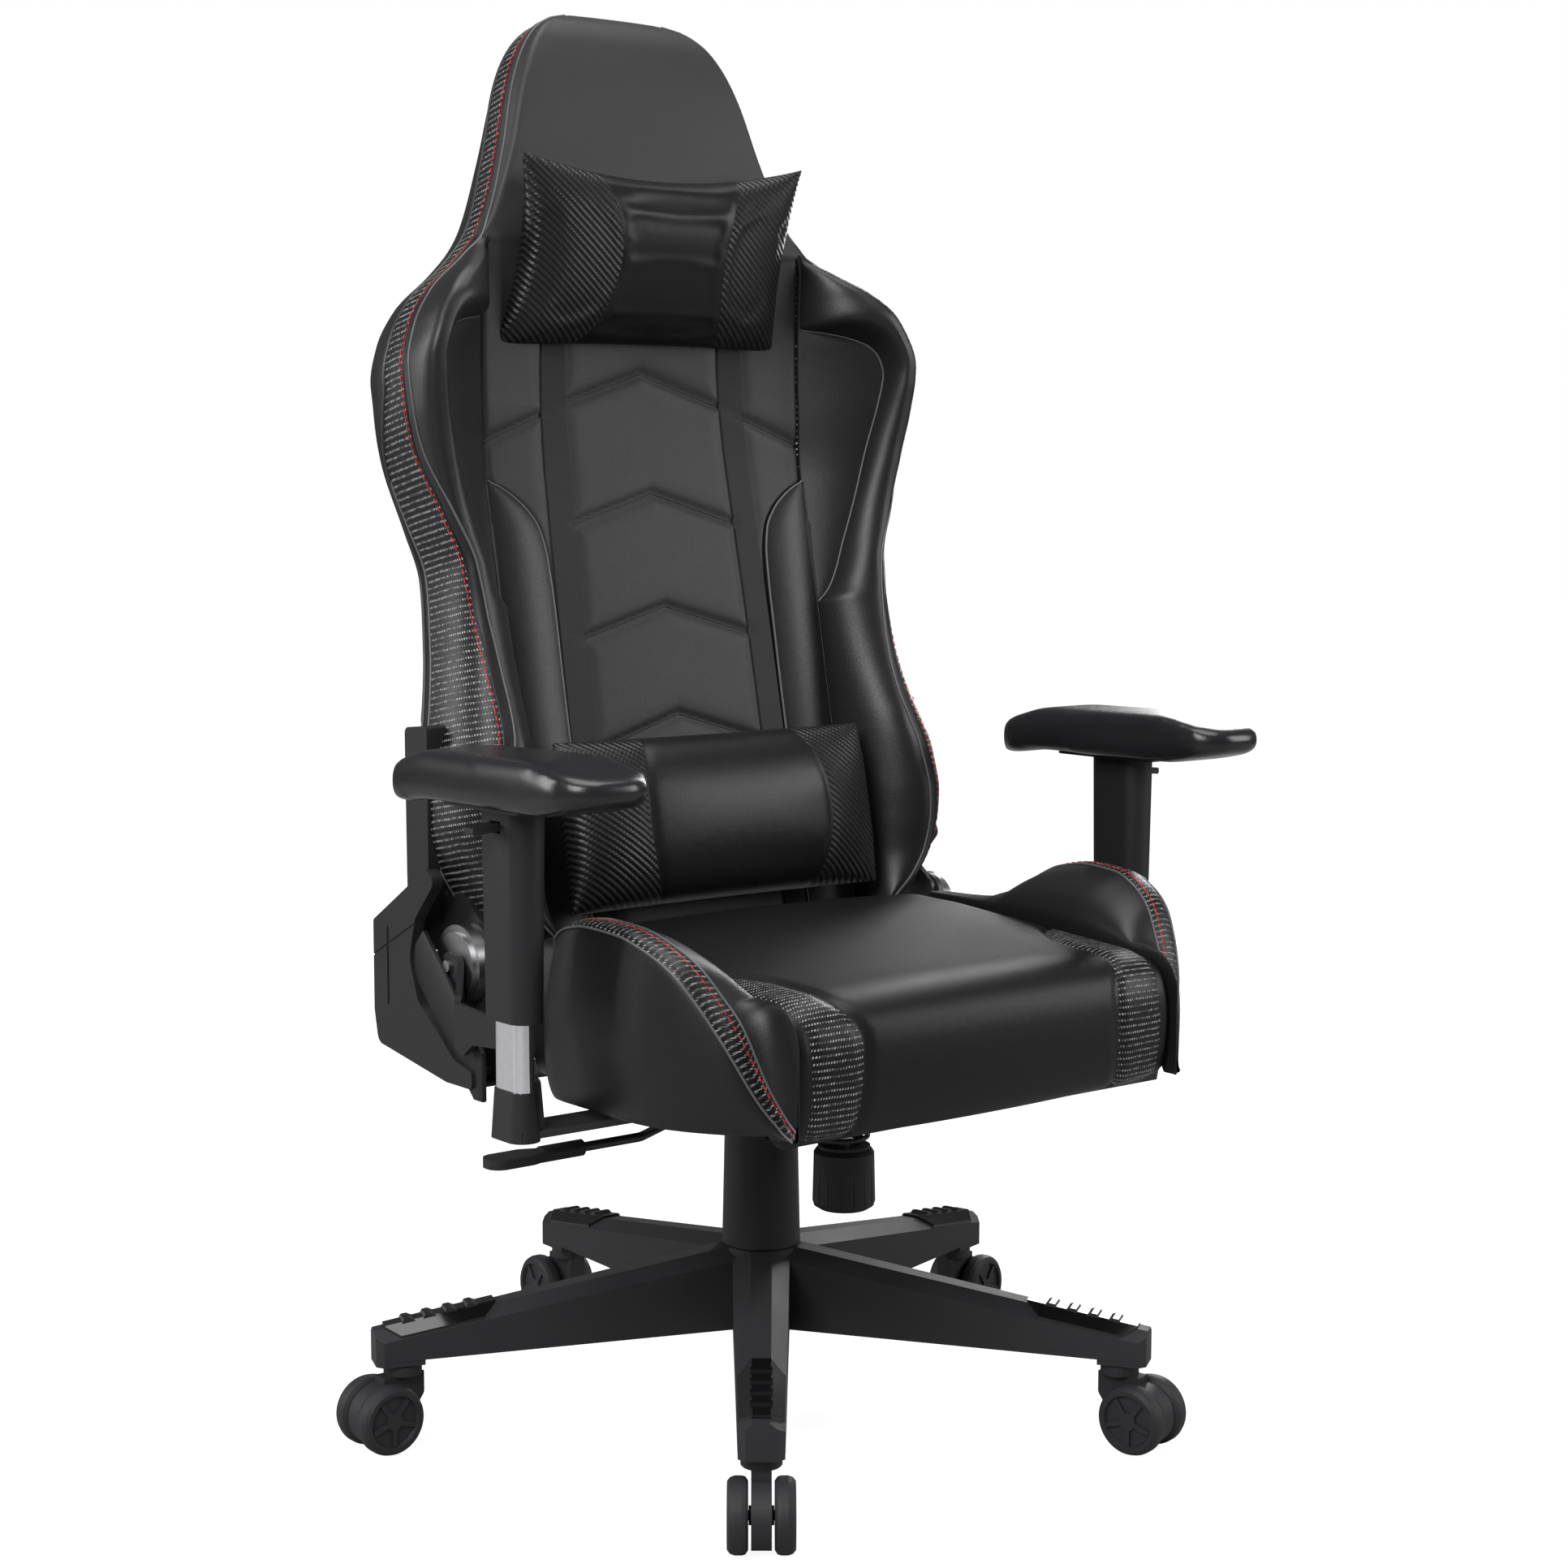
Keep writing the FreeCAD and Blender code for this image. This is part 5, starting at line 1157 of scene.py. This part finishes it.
def bolster_line(shift, side, lift=0.3):
    """Line and normals along a bolster at a distance inwards of its ridge."""
    points, ups = [], []
    for y in np.arange(-306.0, -78.0, 4.0):
        ring, at = bolster_section(y)
        p, n = point_and_normal(ring, arc_length(ring)[at] + shift * float(BAND_FADE(y)))
        if n[1] < -0.3 or (abs(n[1]) < 0.3 and n[0] < 0):
            n = -n
        points.append((side * (p[0] + n[0] * lift), y, p[1] + n[1] * lift))
        ups.append((side * n[0], -0.15, n[1]))
    return resample(np.array(points), step=4), np.array(ups)


class CHAIR_OT_seat(bpy.types.Operator):
    """Seat cushion with woven side strips"""
    bl_idname = "chair.seat"
    bl_label = "Seat cushion"

    def execute(self, context):
        closed = np.array(SEAT_PROFILE + SEAT_PROFILE[:1], float)
        profile = softened(resample(closed, step=4.5)[:-1])
        run = arc_length(profile)
        face = (profile[:, 1] > 400) | (profile[:, 0] < -290)
        tangent = np.roll(profile, -1, 0) - np.roll(profile, 1, 0)
        tangent /= np.linalg.norm(tangent, axis=1, keepdims=True)
        normal = np.column_stack([-tangent[:, 1], tangent[:, 0]])
        rings, uvs, bands = [], [], []
        for x in np.linspace(-SEAT_SIDE, SEAT_SIDE, 101):
            k = abs(x)
            crown = 6.0 * (1 - (k / SEAT_SIDE) ** 2) ** 0.8
            seam = 3.2 * np.exp(-((k - STRIP_IN(run)) / 5.0) ** 2)
            seam = seam + 1.6 * np.exp(-((k - STRIP_OUT(run)) / 4.0) ** 2)
            edge = 4.5 * np.exp(-((SEAT_SIDE - k) / 6.0) ** 2)
            swell_out = (crown - 6.0 - seam - edge) * face
            ring = profile + normal * swell_out[:, None]
            rings.append(np.column_stack([np.full(len(ring), x), ring]))
            uvs.append(np.column_stack([run * MM, np.full(len(ring), k * MM)]))
            band = np.minimum(k - STRIP_IN(run), STRIP_OUT(run) - k)
            bands.append(np.where(face & (run < 330), band, NO_BAND))
        obj = dressed_loft("seat_pad", rings, uvs, bands, 70,
                           leather("seat leather", 0.42, 0.44, "band", specular=0.28))
        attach(obj, "seat")
        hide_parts("seat_cushion")
        return {"FINISHED"}


class CHAIR_OT_bolsters(bpy.types.Operator):
    """Side bolsters of the seat"""
    bl_idname = "chair.bolsters"
    bl_label = "Seat bolsters"

    def execute(self, context):
        light, seams, paths, ups = [], [], [], []
        for side, word in SIDES:
            rings, uvs, bands = [], [], []
            crest, last = 0.0, None
            for y in list(np.arange(-307.0, 6.0, 2.5)) + [7.5]:
                ring, at = bolster_section(y)
                run = arc_length(ring)
                ridge = np.array([ring[at, 0], y, ring[at, 1]])
                crest += 0.0 if last is None else float(np.linalg.norm(ridge - last))
                last = ridge
                ring = softened(ring)
                fade = float(BAND_FADE(y))
                off = (run - run[at]) / fade
                on_top = (y < -70) & (np.arange(len(ring)) > 12)
                bands.append(np.where(on_top, 14 - np.abs(off - 0.5), NO_BAND))
                rings.append(np.insert(ring * [side, 1], 1, y, axis=1))
                uvs.append(along_and_round(crest, run))
            obj = dressed_loft("seat_bolster_pad_" + word, rings, uvs, bands, 70,
                               leather("bolster leather " + word, 0.8, 0.40, "band"))
            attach(obj, "seat")
            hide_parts("seat_bolster_" + word)
            light += [bolster_line(-13.5, side)[0], bolster_line(14.5, side)[0]]
            path, up = bolster_line(7.0, side)
            paths.append(path)
            ups.append(point_at(np.linspace(0, 1, len(path)), np.linspace(0, 1, len(up)), up))
        # light piping: the grey piping colour raised 3.2 times, partly real piping and partly a
        # painted highlight
        obj = tube_along("bolster_piping_painted_highlight", light, sizes().piping_r * FINE_PIPING)
        dress(obj, cord_finish("bolster piping painted highlight", 3.2))
        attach(obj, "seat")
        obj = stitches("bolster_stitching", paths, ups)
        dress(obj, plain_thread("red thread seat", finish().thread))
        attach(obj, "seat")
        return {"FINISHED"}


class CHAIR_OT_arm_pads(bpy.types.Operator):
    """Soft arm rests"""
    bl_idname = "chair.arm_pads"
    bl_label = "Arm rests"

    def execute(self, context):
        for side, word in SIDES:
            obj = remeshed_copy("arm_rest_" + word, "arm_pad_" + word, 3.5, 45, 1.2)
            applied(obj, "SUBSURF", levels=1, render_levels=1)
            rounded(obj, 70)
            dress(obj, plastic("arm rest skin " + word, 1.1, 0.27, 0.00006, 900.0))
            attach(obj, "arm_" + word)
            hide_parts("arm_pad_" + word)
        return {"FINISHED"}


# outline of a liner from the hinge (y, z), its inner face and its thickness
LINER = [(44, 38), (24, 42), (-1, 15), (-9, -14), (-14, -74), (20, -66), (50, -30), (54, 5)]
LINER_X, LINER_T = 276.5, 4.8


class CHAIR_OT_cover_liners(bpy.types.Operator):
    """Plates that close the lower side covers from inside"""
    bl_idname = "chair.cover_liners"
    bl_label = "Side cover liners"

    def execute(self, context):
        parts = []
        for side in (-1, 1):
            bpy.ops.object.select_all(action="DESELECT")
            bpy.ops.mesh.primitive_cube_add(size=1)
            obj = context.object
            obj.scale = np.array([LINER_T, 160, 180]) * MM      # a block to cut the outline from
            obj.location = (HINGE + [side * (LINER_X + LINER_T / 2), 20, -16]) * MM
            bpy.ops.object.transform_apply(location=True, rotation=True, scale=True)
            bpy.ops.object.mode_set(mode="EDIT")
            for (y0, z0), (y1, z1) in zip(LINER, LINER[1:] + LINER[:1]):
                bpy.ops.mesh.select_all(action="SELECT")
                bpy.ops.mesh.bisect(plane_co=(0, (HINGE[1] + y0) * MM, (HINGE[2] + z0) * MM),
                                    plane_no=(0, z1 - z0, y0 - y1), use_fill=True, clear_outer=True)
            bpy.ops.object.mode_set(mode="OBJECT")
            applied(obj, "BEVEL", width=1.2 * MM, segments=2)
            parts.append(obj)
        obj = joined("side_cover_liners", parts)
        rounded(obj, 40)
        dress(obj, plastic("liner plastic", 0.9, 0.52, 0.00015, 1400.0, 0.32))
        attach(obj, "seat")
        return {"FINISHED"}


class CHAIR_OT_coil(bpy.types.Operator):
    """Tension coil"""
    bl_idname = "chair.coil"
    bl_label = "Tension coil"

    def execute(self, context):
        obj = in_scene("tension_coil", NODES["tilt_spring"].data.copy())
        outward(obj)
        rounded(obj, 60)
        dress(obj, metal("coil steel", (0.03, 0.03, 0.032), 0.36, None, 0.3))
        z = coords(obj)[:, 2]
        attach(obj, "lift")
        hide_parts("tilt_spring")
        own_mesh(obj)
        return {"FINISHED"}


# ---- operators: finishes of the frame's own parts -----------------------------------------------
class CHAIR_OT_hardware(bpy.types.Operator):
    """Finishes of the metal and plastic parts"""
    bl_idname = "chair.hardware"
    bl_label = "Metal and plastic finishes"

    def execute(self, context):
        look = {
            "nylon": plastic("base nylon", 1.7, 0.58, 0.00015, 1300.0, 0.34),
            "gloss_black": plastic("gloss black", 0.5, 0.10, 0.00001, 600.0, 0.5),
            "cover_plastic": plastic("cover plastic", 1.1, 0.52, 0.00015, 1400.0, 0.32),
            "pad_plastic": plastic("arm skin", 1.1, 0.3, 0.00006, 900.0),
            "bush_plastic": plastic("bush plastic", 3.0, 0.5),
            "chrome": metal("chrome", (0.80, 0.80, 0.82), 0.07),
            "steel": metal("brushed steel", (0.42, 0.42, 0.43), 0.30, (1, 14, 14)),
            "black_steel": metal("black steel", (0.02, 0.02, 0.022), 0.40, None, 0.0),
            "spring_steel": metal("spring steel", (0.03, 0.03, 0.032), 0.36, None, 0.3),
            "webbing": webbing("strap webbing"),
            "black_leather": leather("spare leather"),
        }
        slots = {p["node"]: p["material_slot"] for p in frame["record"]["subparts"]}
        for name, obj in NODES.items():
            dress(obj, look[slots[name]])
        return {"FINISHED"}


class CHAIR_PT_panel(bpy.types.Panel):
    """Sidebar panel of the chair"""
    bl_idname = "CHAIR_PT_panel"
    bl_label = "Gaming chair"
    bl_space_type = "VIEW_3D"
    bl_region_type = "UI"
    bl_category = "Chair"

    def draw(self, context):
        for group in (context.scene.chair_finish, context.scene.chair_sizes):
            for key in group.__annotations__:
                self.layout.prop(group, key)
        for cls in OPERATORS:
            self.layout.operator(cls.bl_idname)


OPERATORS = [CHAIR_OT_stage, CHAIR_OT_hardware, CHAIR_OT_back_pad, CHAIR_OT_back_wings,
             CHAIR_OT_back_shell, CHAIR_OT_straps, CHAIR_OT_back_trim, CHAIR_OT_pillows,
             CHAIR_OT_seat, CHAIR_OT_bolsters, CHAIR_OT_arm_pads, CHAIR_OT_cover_liners,
             CHAIR_OT_coil]
CLASSES = [ChairFinish, ChairSizes, *OPERATORS, CHAIR_PT_panel]


def register():
    for cls in CLASSES:
        bpy.utils.register_class(cls)
    bpy.types.Scene.chair_finish = bpy.props.PointerProperty(type=ChairFinish)
    bpy.types.Scene.chair_sizes = bpy.props.PointerProperty(type=ChairSizes)


def unregister():
    del bpy.types.Scene.chair_finish
    del bpy.types.Scene.chair_sizes
    for cls in reversed(CLASSES):
        bpy.utils.unregister_class(cls)


def main():
    register()
    for cls in OPERATORS:
        area, name = cls.bl_idname.split(".")
        getattr(getattr(bpy.ops, area), name)()


if __name__ == "__main__":
    main()
